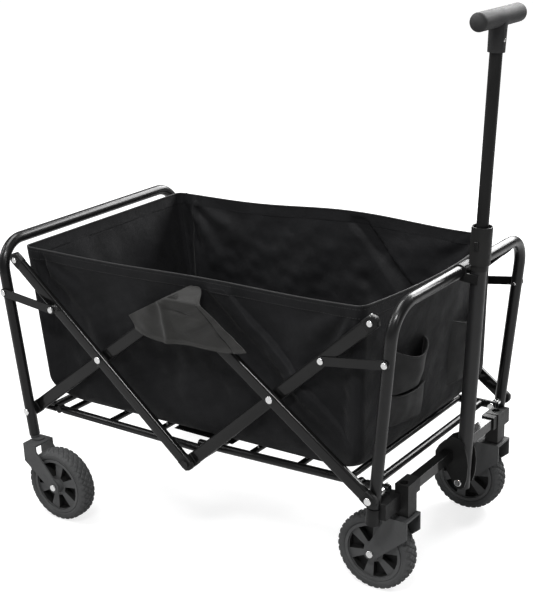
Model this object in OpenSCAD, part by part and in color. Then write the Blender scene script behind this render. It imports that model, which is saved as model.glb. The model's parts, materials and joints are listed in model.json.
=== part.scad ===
// Folding camp wagon: two splayed end frames, crossed side bars, a ladder floor,
// a cloth basket, four casters and a telescopic pull handle.
// +X points to the handle end, +Y to the left side and +Z up. Lengths are in millimetres.

/* [Node] */
// which sub-part is drawn

/* [End frames] */
// height of the top bar above the lower pivots, measured along the leaning frame
top_up = 350; // [300:1:400]
// height above the lower pivots about which the frames lean
lean_up = 81; // [60:1:100]
// outward lean of each end frame in degrees
lean = 6; // [3:0.5:7]
// half the spacing of the front frame's legs
front_leg_y = 252; // [220:1:290]
// outside diameter of the frame tube
tube_d = 22; // [20:0.5:26]
// wall thickness of every steel tube
tube_wall = 1.2; // [1:0.1:1.6]
// bend radius of the frame tube
bend_r = 58; // [50:1:70]
// height of the leg feet above the wheels
foot_gap = 14; // [10:1:18]

/* [Side bars] */
// half the distance between the two lower pivots
pivot_half = 400; // [330:1:470]
// height of the lower pivots above the leg feet
pivot_up = 53; // [50:1:60]
// height of the two side crossings above the lower pivots
cross_up = 148; // [130:1:165]
// drop of the middle pivot below the lower pivots
mid_down = 26; // [24:1:30]
// depth of the flat oval bar
bar_w = 25; // [20:0.5:30]
// thickness of the flat oval bar
bar_t = 12; // [10:0.5:14]
// gap between stacked flat faces
plate_gap = 1.6; // [1.2:0.1:2.5]
// how far the free upper bar ends stop short of the lower pivots
tip_dx = 2; // [0:0.5:6]
// how far the link rivets stop short of the lower pivots
link_dx = 98.5; // [90:0.1:110]
// height of the link pivots above the lower pivots
link_up = 252; // [230:1:270]
// length of bar past its last pivot
bar_over = 11; // [10:1:14]
// wall of the plastic end caps
cap_wall = 0.6; // [0.5:0.1:0.7]
// radius of the pivot pins
pin_r = 4; // [3.5:0.5:5]
// radial running clearance of every pin
run_fit = 0.08; // [0.03:0.01:0.1]
// radius of the clearance hole of the open middle pivot
mid_hole_r = 8.2; // [8:0.1:9]

/* [Floor] */
// diameter of the ladder rails
rail_d = 16; // [14:0.5:18]
// gap between the rear rails and the side bars
rail_side = 5; // [4:0.5:8]
// gap between the front rails and the rear rails, seen from the end
rail_pass = 4; // [3:0.5:8]
// how far the floor hinges stand inside the lower pivots
floor_in = 50; // [48:1:56]
// distance of the cross bars from the floor hinges
cross_bar_in = 24; // [23:0.5:30]
// drop of the rails towards the middle in degrees
rail_drop = 1; // [0.8:0.1:1.2]
// diameter of the floor slats
slat_d = 12; // [10:0.5:14]
// distance of the first slat from the middle
slat_first = 110; // [85:1:130]
// spacing of the slats
slat_step = 108; // [80:1:110]
// reach of the rear mat's narrow tongue past the middle
tongue_out = 62; // [50:1:66]
// distance from the middle at which the wide part of each mat ends
mat_end = 75; // [70:1:90]
// thickness of the floor mats
mat_t = 3; // [2:0.5:4]

/* [Basket] */
// height of the basket's upper hem above the lower pivots
hem_up = 333; // [280:1:340]
// gap between the basket's sides and the side bars
basket_gap = 5; // [3:0.5:30]
// inward offset of the end walls from the frame planes
wall_in = 36; // [34:1:40]
// thickness of the cloth walls
cloth_t = 2.5; // [2:0.5:4]

/* [Casters] */
// wheel diameter
wheel_d = 152; // [140:1:156]
// tyre width
wheel_w = 40; // [34:1:42]
// distance from the crown's centre to the axle
trail = 55; // [50:1:60]
// how far the front swivel axes stand inside the legs
swivel_in = 65; // [55:1:80]
// how far the front swivel axes stand ahead of the lower pivots
swivel_dx = 21; // [18:1:26]
// how far the rear crowns stand inside the lower pivots
rear_crown_dx = 23; // [18:1:28]
// thickness of the fork plates
fork_t = 3; // [2.5:0.5:4]
// radius of the axle bolts
axle_r = 4; // [3.5:0.5:5]
// radius of the swivel stems
stem_r = 8; // [7:0.5:9]

/* [Handle] */
// how far the handle pivot stands ahead of the lower pivots
handle_dx = 43.5; // [40:0.5:50]
// drop of the handle pivot below the lower pivots
handle_down = 62; // [55:1:65]
// forward lean of the handle in degrees
handle_lean = 3.1; // [2.5:0.1:4]
// diameter of the lower handle tube
lower_d = 28; // [26:0.5:30]
// diameter of the upper handle tube
upper_d = 22; // [20:0.5:24]
// how far the lower handle tube reaches above the front top bar
collar_up = 18.87; // [16:0.01:26]
// distance from the end of the lower handle tube to the grip
upper_out = 418; // [360:1:450]
// length of the grip
grip_len = 190; // [120:1:200]
// diameter of the grip
grip_d = 27; // [24:0.5:30]

/* [Hidden] */
fn = 48;
x_mid = -27.6;
leg_foot_z = wheel_d + foot_gap;
pivot_z = leg_foot_z + pivot_up;
lean_ref_z = pivot_z + lean_up;
frame_top = pivot_z + top_up;
hoop_height = lean_ref_z + (frame_top - lean_ref_z) * cos(lean);
cross_z = pivot_z + cross_up;
mid_z = pivot_z - mid_down;
link_z = pivot_z + link_up;
hem_z = pivot_z + hem_up;
swivel_y = front_leg_y - swivel_in;
handle_z = pivot_z - handle_down;
lower_len = (hoop_height - handle_z) / cos(handle_lean) + collar_up;
grip_at = lower_len + upper_out;
frame_half = pivot_half + (lean_ref_z - pivot_z) * tan(lean);
tip_x = pivot_half - tip_dx;
link_x = pivot_half - link_dx;
swivel_x = pivot_half + swivel_dx;
rear_crown_x = pivot_half - rear_crown_dx;
handle_x = pivot_half + handle_dx;
tr = tube_d / 2;
wd = wheel_d / 2;
cy = front_leg_y + tr + plate_gap + bar_t / 2;
by = cy - bar_t - plate_gap;
rear_leg_y = by + bar_t / 2 + plate_gap + tr;
rear_out = rear_leg_y + tr;
front_out = front_leg_y + tr;
cross_x = pivot_half / 2;
low_a = atan2(cross_z - pivot_z, pivot_half - cross_x);
up_a = atan2(cross_z - mid_z, cross_x);
top_z = pivot_z + pivot_half * tan(low_a);
low_len = pivot_half / cos(low_a);
up_len = tip_x / cos(up_a);
tip_z = mid_z + tip_x * tan(up_a);
link_bz = mid_z + link_x * tan(up_a);
leg_x_link = frame_half + (link_z - lean_ref_z) * tan(lean);
link_len = sqrt(pow(leg_x_link - link_x, 2) + pow(link_z - link_bz, 2));
link_a = atan2(link_bz - link_z, leg_x_link - link_x);
link_t = 2.5;
link_y_r = rear_out + 0.4;
link_y_f = front_out + 0.4;
head_h = 3;
head_r = 7;
crown_top = leg_foot_z - 7;
crown_t = 3.5;
fork_in = wheel_w / 2 + 3;
fork_out = fork_in + fork_t;
bar_in = by - bar_t / 2;
bar_out = cy + bar_t / 2;
basket_y = bar_in - basket_gap;
rail_r = rail_d / 2;
rear_rail_y = bar_in - rail_side - rail_r;
front_rail_y = rear_rail_y - 2 * rail_r - rail_pass;
rail_len = (pivot_half - floor_in) / cos(rail_drop);
ear_r = rail_r - 0.6;
mat_z = pivot_z + rail_r + 0.6;
wall_z = mat_z + mat_t + 0.6;
wall_bot_x = frame_half - wall_in + (wall_z - lean_ref_z) * tan(lean);
wall_top_x = frame_half - wall_in + (hem_z - lean_ref_z) * tan(lean);
cross_w = 20;
cross_cx = swivel_x;
cross_cz = pivot_z - 10;
house_top = cross_cz + 14;
cheek_y = lower_d / 2 + 1.6;
cheek_t = 3;
collar_z = lower_len - 4;
collar_len = 68;
collar_r = 19;
button_z = collar_z + 36;

// ---- placing helpers ----

// moves the wagon so that its overall box is centred
module placed() {
  translate([x_mid, 0, 0]) children();
}

// draws its child on both sides
module both_sides() {
  for (s = [0, 1]) mirror([0, s, 0]) children();
}

// leaning frame of the rear end; z runs up the legs
module rear_lean() {
  translate([-frame_half, 0, lean_ref_z]) rotate([0, -lean, 0]) translate([0, 0, -lean_ref_z])
    children();
}

// leaning frame of the front end, mirrored so that x still points inwards
module front_lean() {
  mirror([1, 0, 0]) rear_lean() children();
}

// cylinder along y from y0 to y1
module ycyl(r, y0, y1) {
  translate([0, y1, 0]) rotate([90, 0, 0]) cylinder(r = r, h = y1 - y0, $fn = fn);
}

// handle frame; z runs up the handle from its pivot
module handle_axis() {
  translate([handle_x, 0, handle_z]) rotate([0, handle_lean, 0]) children();
}

// height on a leg, as length along the leaning frame
function on_leg(z) = lean_ref_z + (z - lean_ref_z) / cos(lean);

// ---- profiles ----

// flat oval outline along x from x0 to x1
module oval_bar(x0, x1, w, t, y) {
  r = w / 2;
  translate([x0, y - t / 2, -r]) cube([x1 - x0, t, w]);
  translate([x0, 0, 0]) ycyl(r, y - t / 2, y + t / 2);
  translate([x1, 0, 0]) ycyl(r, y - t / 2, y + t / 2);
}

// hollow bar from its first pivot to its last, with pin holes at the listed stations
module side_bar(len, y, holes) {
  difference() {
    translate([-bar_over, y - bar_t / 2, -bar_w / 2]) cube([len + 2 * bar_over, bar_t, bar_w]);
    translate([-bar_over - 1, y - bar_t / 2 + tube_wall, -bar_w / 2 + tube_wall])
      cube([len + 2 * bar_over + 2, bar_t - 2 * tube_wall, bar_w - 2 * tube_wall]);
    for (h = holes) translate([h[0], 0, 0]) ycyl(h[1], y - bar_t, y + bar_t);
  }
}

// plastic cap closing one bar end; x points outwards from the pivot
module bar_cap(y, hole) {
  w = bar_w / 2 + cap_wall;
  t = bar_t / 2 + cap_wall;
  difference() {
    union() {
      translate([-14, y - t, -w]) cube([14 + bar_over - 6, 2 * t, 2 * w]);
      intersection() {
        translate([bar_over - 10, 0, 0]) ycyl(w, y - t, y + t);
        translate([bar_over - 6.01, y - t, -w]) cube([20, 2 * t, 2 * w]);
      }
    }
    translate([-15, y - bar_t / 2 - 0.02, -bar_w / 2 - 0.02])
      cube([15 + bar_over + 0.02, bar_t + 0.04, bar_w + 0.04]);
    ycyl(hole, y - bar_t, y + bar_t);
  }
}

// turns a child drawn along x to rise at an angle
module rising(a) {
  rotate([0, -a, 0]) children();
}

// bent tube frame: two legs, two bends and a top bar
module hoop_solid(w, r, foot) {
  both_sides() translate([0, w, foot]) cylinder(r = r, h = frame_top - bend_r - foot, $fn = fn);
  both_sides() translate([0, w - bend_r, frame_top - bend_r]) rotate([90, 0, 90])
    rotate_extrude(angle = 90, $fn = 64) translate([bend_r, 0]) circle(r = r, $fn = fn);
  translate([0, 0, frame_top]) ycyl(r, -(w - bend_r), w - bend_r);
}

// hollow frame with cross holes for the pivots at two heights
module hoop(w, lower, upper) {
  difference() {
    hoop_solid(w, tr, leg_foot_z);
    hoop_solid(w, tr - tube_wall, leg_foot_z - 1);
    both_sides() translate([0, 0, on_leg(lower)]) ycyl(pin_r + 0.02, w - 20, w + 20);
    both_sides() translate([0, 0, on_leg(upper)]) ycyl(pin_r - 0.98, w - 20, w + 20);
  }
}

// ---- end frames ----

module rear_hoop() {
  color([0.03, 0.03, 0.03]) placed() rear_lean() hoop(rear_leg_y, pivot_z, link_z);
}

module front_hoop() {
  color([0.03, 0.03, 0.03]) placed() front_lean() hoop(front_leg_y, pivot_z, link_z);
}

// pivot bolts and rivets of the rear frame, with the rear axles
module rear_fasteners() {
  color([0.75, 0.75, 0.75]) placed() {
    both_sides() translate([-pivot_half, 0, pivot_z]) {
      ycyl(pin_r, rear_rail_y - rail_r - 4, rear_out);
      ycyl(head_r, rear_rail_y - rail_r - 4, rear_rail_y - rail_r - 0.5);
      ycyl(head_r, rear_out + 0.05, rear_out + head_h);
      ycyl(pin_r, rear_out - 0.5, rear_out + 0.5);
    }
    both_sides() translate([-leg_x_link, 0, link_z]) {
      ycyl(pin_r - 1, rear_leg_y - tr - 0.2, link_y_r + link_t + 1);
      ycyl(head_r - 1, link_y_r + link_t + 0.3, link_y_r + link_t + 0.3 + head_h);
    }
    both_sides() translate([-(rear_crown_x - trail), rear_leg_y + 7.4, wd]) axle_bolt();
  }
}

// axle bolt centred on the wheel, with a domed head at each end
module axle_bolt() {
  ycyl(axle_r, -fork_out - 2, fork_out + 2);
  ycyl(head_r, fork_out + 0.05, fork_out + 4);
  ycyl(head_r, -fork_out - 4, -fork_out - 0.05);
}

// ---- casters ----

// side plate of a fork; x points from the crown towards the axle
module fork_plate(y0, wide, back) {
  difference() {
    union() {
      translate([0, y0 + fork_t, 0]) rotate([90, 0, 0]) linear_extrude(height = fork_t)
        polygon([
          [-20, crown_top], [wide, crown_top], [wide, crown_top - 14],
          [trail + 13, wd + 4], [trail + 9, wd - 9.4], [trail - 11, wd - 7], [-20, back]
        ]);
      translate([trail, 0, wd]) ycyl(13, y0, y0 + fork_t);
    }
    translate([trail, 0, wd]) ycyl(axle_r + 0.02, y0 - 1, y0 + fork_t + 1);
  }
}

// bent fork centred on its crown; x points from the crown towards the axle
module fork(wide, back, stem) {
  difference() {
    union() {
      translate([-20, -fork_out, crown_top - crown_t]) cube([wide + 20, 2 * fork_out, crown_t]);
      fork_plate(-fork_out, wide, back);
      fork_plate(fork_in, wide, back);
      if (stem > 0) translate([0, 0, crown_top - 1]) cylinder(r = stem_r, h = stem, $fn = fn);
      if (stem > 0) translate([0, 0, crown_top - 1]) cylinder(r = stem_r + 5, h = 3, $fn = fn);
    }
    if (stem == 0) translate([0, 0, crown_top - 10]) cylinder(r = 3.5, h = 20, $fn = fn);
  }
}

// fixed rear forks with the plugs that fill the leg feet
module rear_forks() {
  color([0.05, 0.05, 0.05]) placed() both_sides() {
    translate([-rear_crown_x, rear_leg_y + 7.4, 0]) {
      fork(14, crown_top - 39, 0);
      translate([-8, -7.4, crown_top - 1]) cylinder(r = tr + 2, h = 4, $fn = fn);
    }
    rear_lean() translate([0, rear_leg_y, leg_foot_z - 6])
      cylinder(r = tr - tube_wall - 0.1, h = 22, $fn = fn);
  }
}

// front swivelling fork on the left; x is turned to trail backwards
module front_fork() {
  translate([swivel_x, swivel_y, 0]) rotate([0, 0, 180]) fork(30, crown_top - 35, 52);
}

module front_fork_left() {
  color([0.06, 0.06, 0.06]) placed() front_fork();
}

module front_fork_right() {
  color([0.06, 0.06, 0.06]) placed() mirror([0, 1, 0]) front_fork();
}

module front_axle_left() {
  color([0.75, 0.75, 0.75]) placed() translate([swivel_x - trail, swivel_y, wd]) axle_bolt();
}

module front_axle_right() {
  color([0.75, 0.75, 0.75]) placed() translate([swivel_x - trail, -swivel_y, wd]) axle_bolt();
}

// moulded rim with six deep pockets between its spokes on each side
module rim() {
  difference() {
    union() {
      ycyl(15, -wheel_w / 2 - 2.4, wheel_w / 2 + 2.4);
      ycyl(wd - 18, -wheel_w / 2 + 6, wheel_w / 2 - 6);
      difference() {
        ycyl(wd - 18, -wheel_w / 2 + 2, wheel_w / 2 - 2);
        ycyl(wd - 24, -wheel_w / 2, wheel_w / 2);
      }
    }
    ycyl(axle_r + run_fit, -wheel_w, wheel_w);
    for (i = [0:5], y = [1 + wheel_w, -1]) rotate([0, 60 * i + 12, 0]) translate([0, y, 0])
      rotate([90, 0, 0]) linear_extrude(height = wheel_w)
        polygon([[20, -5], [wd - 28, -16], [wd - 25, 0], [wd - 28, 16], [20, 5]]);
  }
}

// tyre with rounded shoulders
module tyre() {
  rotate([90, 0, 0]) rotate_extrude($fn = 96) polygon([
    [wd - 17.95, -wheel_w / 2 + 3], [wd - 12, -wheel_w / 2], [wd - 7, -wheel_w / 2 + 0.6],
    [wd - 3, -wheel_w / 2 + 3.4], [wd - 0.8, -wheel_w / 2 + 8], [wd, -wheel_w / 2 + 14],
    [wd, wheel_w / 2 - 14], [wd - 0.8, wheel_w / 2 - 8], [wd - 3, wheel_w / 2 - 3.4],
    [wd - 7, wheel_w / 2 - 0.6], [wd - 12, wheel_w / 2], [wd - 17.95, wheel_w / 2 - 3]
  ]);
}

module rear_wheel_place(s) {
  placed() translate([-(rear_crown_x - trail), s * (rear_leg_y + 7.4), wd]) children();
}

module front_wheel_place(s) {
  placed() translate([swivel_x - trail, s * swivel_y, wd]) children();
}

module rear_rim_left() {
  color([0.12, 0.12, 0.12]) rear_wheel_place(1) rim();
}

module rear_rim_right() {
  color([0.12, 0.12, 0.12]) rear_wheel_place(-1) rim();
}

module rear_tyre_left() {
  color([0.15, 0.15, 0.15]) rear_wheel_place(1) tyre();
}

module rear_tyre_right() {
  color([0.15, 0.15, 0.15]) rear_wheel_place(-1) tyre();
}

module front_rim_left() {
  color([0.12, 0.12, 0.12]) front_wheel_place(1) rim();
}

module front_rim_right() {
  color([0.12, 0.12, 0.12]) front_wheel_place(-1) rim();
}

module front_tyre_left() {
  color([0.15, 0.15, 0.15]) front_wheel_place(1) tyre();
}

module front_tyre_right() {
  color([0.15, 0.15, 0.15]) front_wheel_place(-1) tyre();
}

// moulded corner joining leg foot, cross tube and swivel
module caster_housings() {
  color([0.04, 0.04, 0.04]) placed() both_sides() difference() {
    union() {
      translate([swivel_x - 12, swivel_y - 20, crown_top + 3])
        cube([27, 31.5, house_top - crown_top - 3]);
      translate([cross_cx - cross_w / 2 - 3, swivel_y - 36, cross_cz - cross_w / 2 - 3])
        cube([cross_w + 6, 26, cross_w + 6]);
      translate([swivel_x - 31, swivel_y + 2, pivot_z - 44])
        cube([31, front_leg_y - swivel_y - 2, 30]);
      front_lean() translate([0, front_leg_y, leg_foot_z - 2.5])
        cylinder(r = tr + 2, h = 32, $fn = fn);
    }
    front_lean() translate([0, front_leg_y, leg_foot_z - 0.05])
      cylinder(r = tr + 0.05, h = 80, $fn = fn);
    translate([swivel_x, swivel_y, 0]) cylinder(r = stem_r + run_fit, h = 400, $fn = fn);
    translate([cross_cx - cross_w / 2 - 0.05, swivel_y - 40, cross_cz - cross_w / 2 - 0.05])
      cube([cross_w + 0.1, 30, cross_w + 0.1]);
    translate([swivel_x, swivel_y, crown_top - 5]) cylinder(r = stem_r + 6, h = 8.3, $fn = fn);
  }
}

// square lower tube between the caster housings
module front_cross_tube() {
  l = 2 * (swivel_y - 10.2);
  color([0.05, 0.05, 0.05]) placed() translate([cross_cx, 0, cross_cz]) difference() {
    cube([cross_w, l, cross_w], center = true);
    cube([cross_w - 2 * tube_wall, l + 2, cross_w - 2 * tube_wall], center = true);
  }
}

// ---- side bars ----

module rear_lower_bars() {
  color([0.03, 0.03, 0.03]) placed() both_sides() translate([-pivot_half, 0, pivot_z]) rising(low_a)
    side_bar(low_len, by, [
      [0, pin_r + run_fit], [low_len / 2, pin_r + 0.02], [low_len, pin_r + 0.02]
    ]);
}

module rear_lower_caps() {
  color([0.02, 0.02, 0.02]) placed() both_sides() translate([-pivot_half, 0, pivot_z])
    rising(low_a) {
      mirror([1, 0, 0]) bar_cap(by, pin_r + run_fit);
      translate([low_len, 0, 0]) bar_cap(by, pin_r + 0.02);
    }
}

// crossing pins and top pins carried by the rear lower bars
module rear_lower_pins() {
  color([0.75, 0.75, 0.75]) placed() both_sides() for (x = [-cross_x, 0])
    translate([x, 0, x == 0 ? top_z : cross_z]) {
      ycyl(pin_r, bar_in - 2.3, bar_out + 1.5);
      ycyl(head_r, bar_in - 2.3, bar_in - cap_wall - 0.1);
      ycyl(head_r, bar_out + cap_wall + 0.3, bar_out + cap_wall + 0.3 + head_h);
    }
}

module rear_upper_bars() {
  color([0.03, 0.03, 0.03]) placed() both_sides() mirror([1, 0, 0]) translate([0, 0, mid_z])
    rising(up_a) side_bar(up_len, cy, [
      [0, pin_r + 0.02], [cross_x / cos(up_a), pin_r + run_fit],
      [link_x / cos(up_a), pin_r - 0.98], [up_len, pin_r - 0.98]
    ]);
}

module rear_upper_caps() {
  color([0.02, 0.02, 0.02]) placed() both_sides() mirror([1, 0, 0]) translate([0, 0, mid_z])
    rising(up_a) {
      mirror([1, 0, 0]) bar_cap(cy, pin_r + 0.02);
      translate([up_len, 0, 0]) bar_cap(cy, pin_r - 0.98);
    }
}

// tip rivets and link bosses of the rear upper bars
module rear_upper_rivets() {
  color([0.75, 0.75, 0.75]) placed() both_sides() {
    translate([-tip_x, 0, tip_z]) tip_rivet(cy);
    translate([-link_x, 0, link_bz]) {
      ycyl(pin_r - 1, bar_out - bar_t + 2, rear_out);
      ycyl(head_r, bar_out + 0.05, rear_out);
    }
  }
}

module tip_rivet(y) {
  ycyl(pin_r - 1, y - bar_t / 2 - 1.5, y + bar_t / 2 + 1.5);
  ycyl(head_r - 1.5, y + bar_t / 2 + cap_wall + 0.05, y + bar_t / 2 + cap_wall + head_h);
  ycyl(head_r - 1.5, y - bar_t / 2 - cap_wall - 1.6, y - bar_t / 2 - cap_wall - 0.05);
}

// tube under the floor with the middle pivot pins at its ends
module centre_tube() {
  color([0.04, 0.04, 0.04]) placed() translate([0, 0, mid_z]) {
    ycyl(10, -bar_in + 1.2, bar_in - 1.2);
    ycyl(pin_r, -bar_out - 2, bar_out + 2);
    both_sides() ycyl(head_r + 1, bar_out + cap_wall + 0.05, bar_out + cap_wall + head_h);
  }
}

module front_lower_bars() {
  color([0.03, 0.03, 0.03]) placed() both_sides() mirror([1, 0, 0])
    translate([-pivot_half, 0, pivot_z]) rising(low_a) side_bar(low_len, cy, [
      [0, pin_r + run_fit], [low_len / 2, pin_r + 0.02], [low_len, pin_r + run_fit]
    ]);
}

module front_lower_caps() {
  color([0.02, 0.02, 0.02]) placed() both_sides() mirror([1, 0, 0])
    translate([-pivot_half, 0, pivot_z]) rising(low_a) {
      mirror([1, 0, 0]) bar_cap(cy, pin_r + run_fit);
      translate([low_len, 0, 0]) bar_cap(cy, pin_r + run_fit);
    }
}

// crossing pins carried by the front lower bars
module front_lower_pins() {
  color([0.75, 0.75, 0.75]) placed() both_sides() translate([cross_x, 0, cross_z]) {
    ycyl(pin_r, bar_in - 1, bar_out + 1);
    ycyl(head_r, bar_in - 2.3, bar_in - 0.3);
    ycyl(head_r, bar_out + 0.05, bar_out + head_h);
  }
}

module front_upper_bars() {
  color([0.03, 0.03, 0.03]) placed() both_sides() translate([0, 0, mid_z]) rising(up_a)
    side_bar(up_len, by, [
      [0, mid_hole_r], [cross_x / cos(up_a), pin_r + run_fit], [up_len, pin_r - 0.98]
    ]);
}

module front_upper_caps() {
  color([0.02, 0.02, 0.02]) placed() both_sides() translate([0, 0, mid_z]) rising(up_a) {
    mirror([1, 0, 0]) bar_cap(by, mid_hole_r);
    translate([up_len, 0, 0]) bar_cap(by, pin_r - 0.98);
  }
}

module front_upper_rivets() {
  color([0.75, 0.75, 0.75]) placed() both_sides() translate([tip_x, 0, tip_z]) tip_rivet(by);
}

// ---- links between legs and upper bars ----

module link_plate(y) {
  difference() {
    oval_bar(0, link_len, 17, link_t, y + link_t / 2);
    ycyl(pin_r - 1 + run_fit, y - 1, y + link_t + 1);
    translate([link_len, 0, 0]) ycyl(pin_r - 1, y - 1, y + link_t + 1);
  }
}

module rear_links() {
  color([0.04, 0.04, 0.04]) placed() both_sides() translate([-leg_x_link, 0, link_z])
    rising(link_a) link_plate(link_y_r);
}

module rear_link_rivets() {
  color([0.75, 0.75, 0.75]) placed() both_sides() translate([-link_x, 0, link_bz]) {
    ycyl(pin_r - 1.02, link_y_r, link_y_r + link_t + 1);
    ycyl(head_r - 1, link_y_r + link_t + 0.02, link_y_r + link_t + head_h);
  }
}

module front_links() {
  color([0.04, 0.04, 0.04]) placed() both_sides() mirror([1, 0, 0]) translate([-leg_x_link, 0, link_z])
    rising(link_a) link_plate(link_y_f);
}

module front_link_rivets() {
  color([0.75, 0.75, 0.75]) placed() both_sides() translate([link_x, 0, link_bz]) {
    ycyl(pin_r - 1.02, link_y_f, link_y_f + link_t + 1);
    ycyl(head_r - 1, link_y_f + link_t + 0.02, link_y_f + link_t + head_h);
  }
}

// ---- floor ----

// round rails of one floor half; x runs from the hinge to the middle
module rails(y) {
  both_sides() rotate([0, rail_drop, 0]) difference() {
    union() {
      difference() {
        translate([10, y, 0]) rotate([0, 90, 0]) cylinder(r = rail_r, h = rail_len - 2, $fn = fn);
        translate([9, y, 0]) rotate([0, 90, 0])
          cylinder(r = rail_r - tube_wall, h = rail_len + 30, $fn = fn);
      }
      translate([0, y - 4, -5]) cube([30, 8, 10]);
      ycyl(ear_r - 1, y - 4, y + 4);
    }
    ycyl(pin_r - 1 + run_fit, y - 20, y + 20);
  }
}

// stubs bolted to the legs and joined by a cross bar, with two ears round each rail's tongue
module floor_stubs(y) {
  translate([-cross_bar_in, 0, 0]) difference() {
    ycyl(ear_r, -y + rail_r - 1, y - rail_r + 1);
    ycyl(ear_r - tube_wall, -y, y);
  }
  both_sides() difference() {
    union() {
      difference() {
        translate([-floor_in - 9, y, 0]) rotate([0, 90, 0])
          cylinder(r = rail_r, h = floor_in + 9 - 13.5, $fn = fn);
        translate([-floor_in - 10, y, 0]) rotate([0, 90, 0])
          cylinder(r = rail_r - tube_wall, h = floor_in, $fn = fn);
      }
      for (e = [-7.2, 4.4]) {
        translate([-20, y + e, -4]) cube([20, 2.8, 8]);
        ycyl(ear_r, y + e, y + e + 2.8);
      }
      ycyl(pin_r - 1, y - 7, y + 7);
    }
    translate([-floor_in, 0, 0]) ycyl(pin_r + 0.02, y - 20, y + 20);
  }
}

// cross slats of one floor half, butted between its rails
module slats(y) {
  last = floor((rail_len - slat_first - 20) / slat_step);
  rotate([0, rail_drop, 0]) for (i = [0:last])
    translate([rail_len - slat_first - i * slat_step, 0, rail_r - slat_d / 2]) difference() {
      ycyl(slat_d / 2, -y + rail_r - 1.5, y - rail_r + 1.5);
      ycyl(slat_d / 2 - tube_wall, -y, y);
      both_sides() translate([0, 0, slat_d / 2 - rail_r]) translate([-50, y, 0]) rotate([0, 90, 0])
        cylinder(r = rail_r + 0.03, h = 100, $fn = fn);
    }
}

// padded board of one floor half, with an optional narrow tongue past the middle
module mat(y, tongue_y) {
  rotate([0, rail_drop, 0]) translate([0, 0, rail_r + 0.6]) {
    translate([12, -y, 0]) cube([rail_len - mat_end - 12, 2 * y, mat_t]);
    if (tongue_y > 0) translate([rail_len - mat_end - 1, -tongue_y, 0])
      cube([mat_end + 1 + tongue_out, 2 * tongue_y, mat_t]);
  }
}

module rear_floor_place() {
  placed() translate([floor_in - pivot_half, 0, pivot_z]) children();
}

module front_floor_place() {
  placed() mirror([1, 0, 0]) translate([floor_in - pivot_half, 0, pivot_z]) children();
}

module floor_rails_rear() {
  color([0.04, 0.04, 0.04]) rear_floor_place() rails(rear_rail_y);
}

module floor_slats_rear() {
  color([0.04, 0.04, 0.04]) rear_floor_place() slats(rear_rail_y);
}

module floor_mat_rear() {
  color([0.03, 0.03, 0.035]) rear_floor_place() mat(basket_y - 5, front_rail_y - rail_r - 2);
}

module floor_stubs_rear() {
  color([0.04, 0.04, 0.04]) rear_floor_place() floor_stubs(rear_rail_y);
}

module floor_stubs_front() {
  color([0.04, 0.04, 0.04]) front_floor_place() floor_stubs(front_rail_y);
}

module floor_rails_front() {
  color([0.04, 0.04, 0.04]) front_floor_place() rails(front_rail_y);
}

module floor_slats_front() {
  color([0.04, 0.04, 0.04]) front_floor_place() slats(front_rail_y);
}

module floor_mat_front() {
  color([0.03, 0.03, 0.035]) front_floor_place() mat(basket_y - 5, 0);
}

// ---- front frame fittings ----

// pivot bolts and rivets of the front frame with the handle bolt
module front_fasteners() {
  color([0.75, 0.75, 0.75]) placed() {
    both_sides() translate([pivot_half, 0, pivot_z]) {
      ycyl(pin_r, front_rail_y - rail_r - 4, bar_out + 1.5);
      ycyl(head_r, front_rail_y - rail_r - 4, front_rail_y - rail_r - 0.5);
      ycyl(head_r, front_rail_y + rail_r + 0.5, front_leg_y - tr - 0.1);
      ycyl(head_r, bar_out + cap_wall + 0.3, bar_out + cap_wall + 0.3 + head_h);
    }
    both_sides() translate([leg_x_link, 0, link_z]) {
      ycyl(pin_r - 1, front_leg_y - tr - 1, link_y_f + link_t + 1);
      ycyl(head_r - 1, link_y_f + link_t + 0.3, link_y_f + link_t + 0.3 + head_h);
    }
    translate([handle_x, 0, handle_z]) {
      ycyl(pin_r, -cheek_y - cheek_t - 2, cheek_y + cheek_t + 2);
      both_sides() ycyl(head_r, cheek_y + cheek_t + 0.05, cheek_y + cheek_t + 4);
    }
  }
}

// two cheeks and a saddle that hold the handle in front of the cross tube
module handle_bracket() {
  c = cross_w / 2;
  color([0.04, 0.04, 0.04]) placed() difference() {
    union() {
      both_sides() translate([0, cheek_y + cheek_t, 0]) rotate([90, 0, 0])
        linear_extrude(height = cheek_t) polygon([
          [cross_cx - c - 16, cross_cz - 14], [cross_cx - c - 16, cross_cz + 3],
          [cross_cx - c - 9, cross_cz + 16], [cross_cx - c + 2, cross_cz + 28],
          [cross_cx + 8, cross_cz + 36], [cross_cx + 24, cross_cz + 37],
          [handle_x + 10, handle_z + 78], [handle_x + 16, handle_z + 58],
          [handle_x + 19, handle_z + 38], [handle_x + 17, handle_z + 10],
          [handle_x + 12, handle_z - 7], [handle_x + 5, handle_z - 12],
          [handle_x - 5, handle_z - 12], [cross_cx - c + 3, cross_cz - c - 14],
          [cross_cx - c - 9, cross_cz - c - 10]
        ]);
      translate([cross_cx - c - 3, -cheek_y - 1, cross_cz - c - 3])
        cube([3, 2 * cheek_y + 2, 2 * c + 6]);
      translate([cross_cx - c - 3, -cheek_y - 1, cross_cz + c])
        cube([2 * c + 3, 2 * cheek_y + 2, 3]);
    }
    translate([cross_cx, 0, cross_cz]) cube([2 * c + 0.1, 200, 2 * c + 0.1], center = true);
    translate([handle_x, 0, handle_z]) ycyl(pin_r + 0.02, -50, 50);
  }
}

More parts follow.
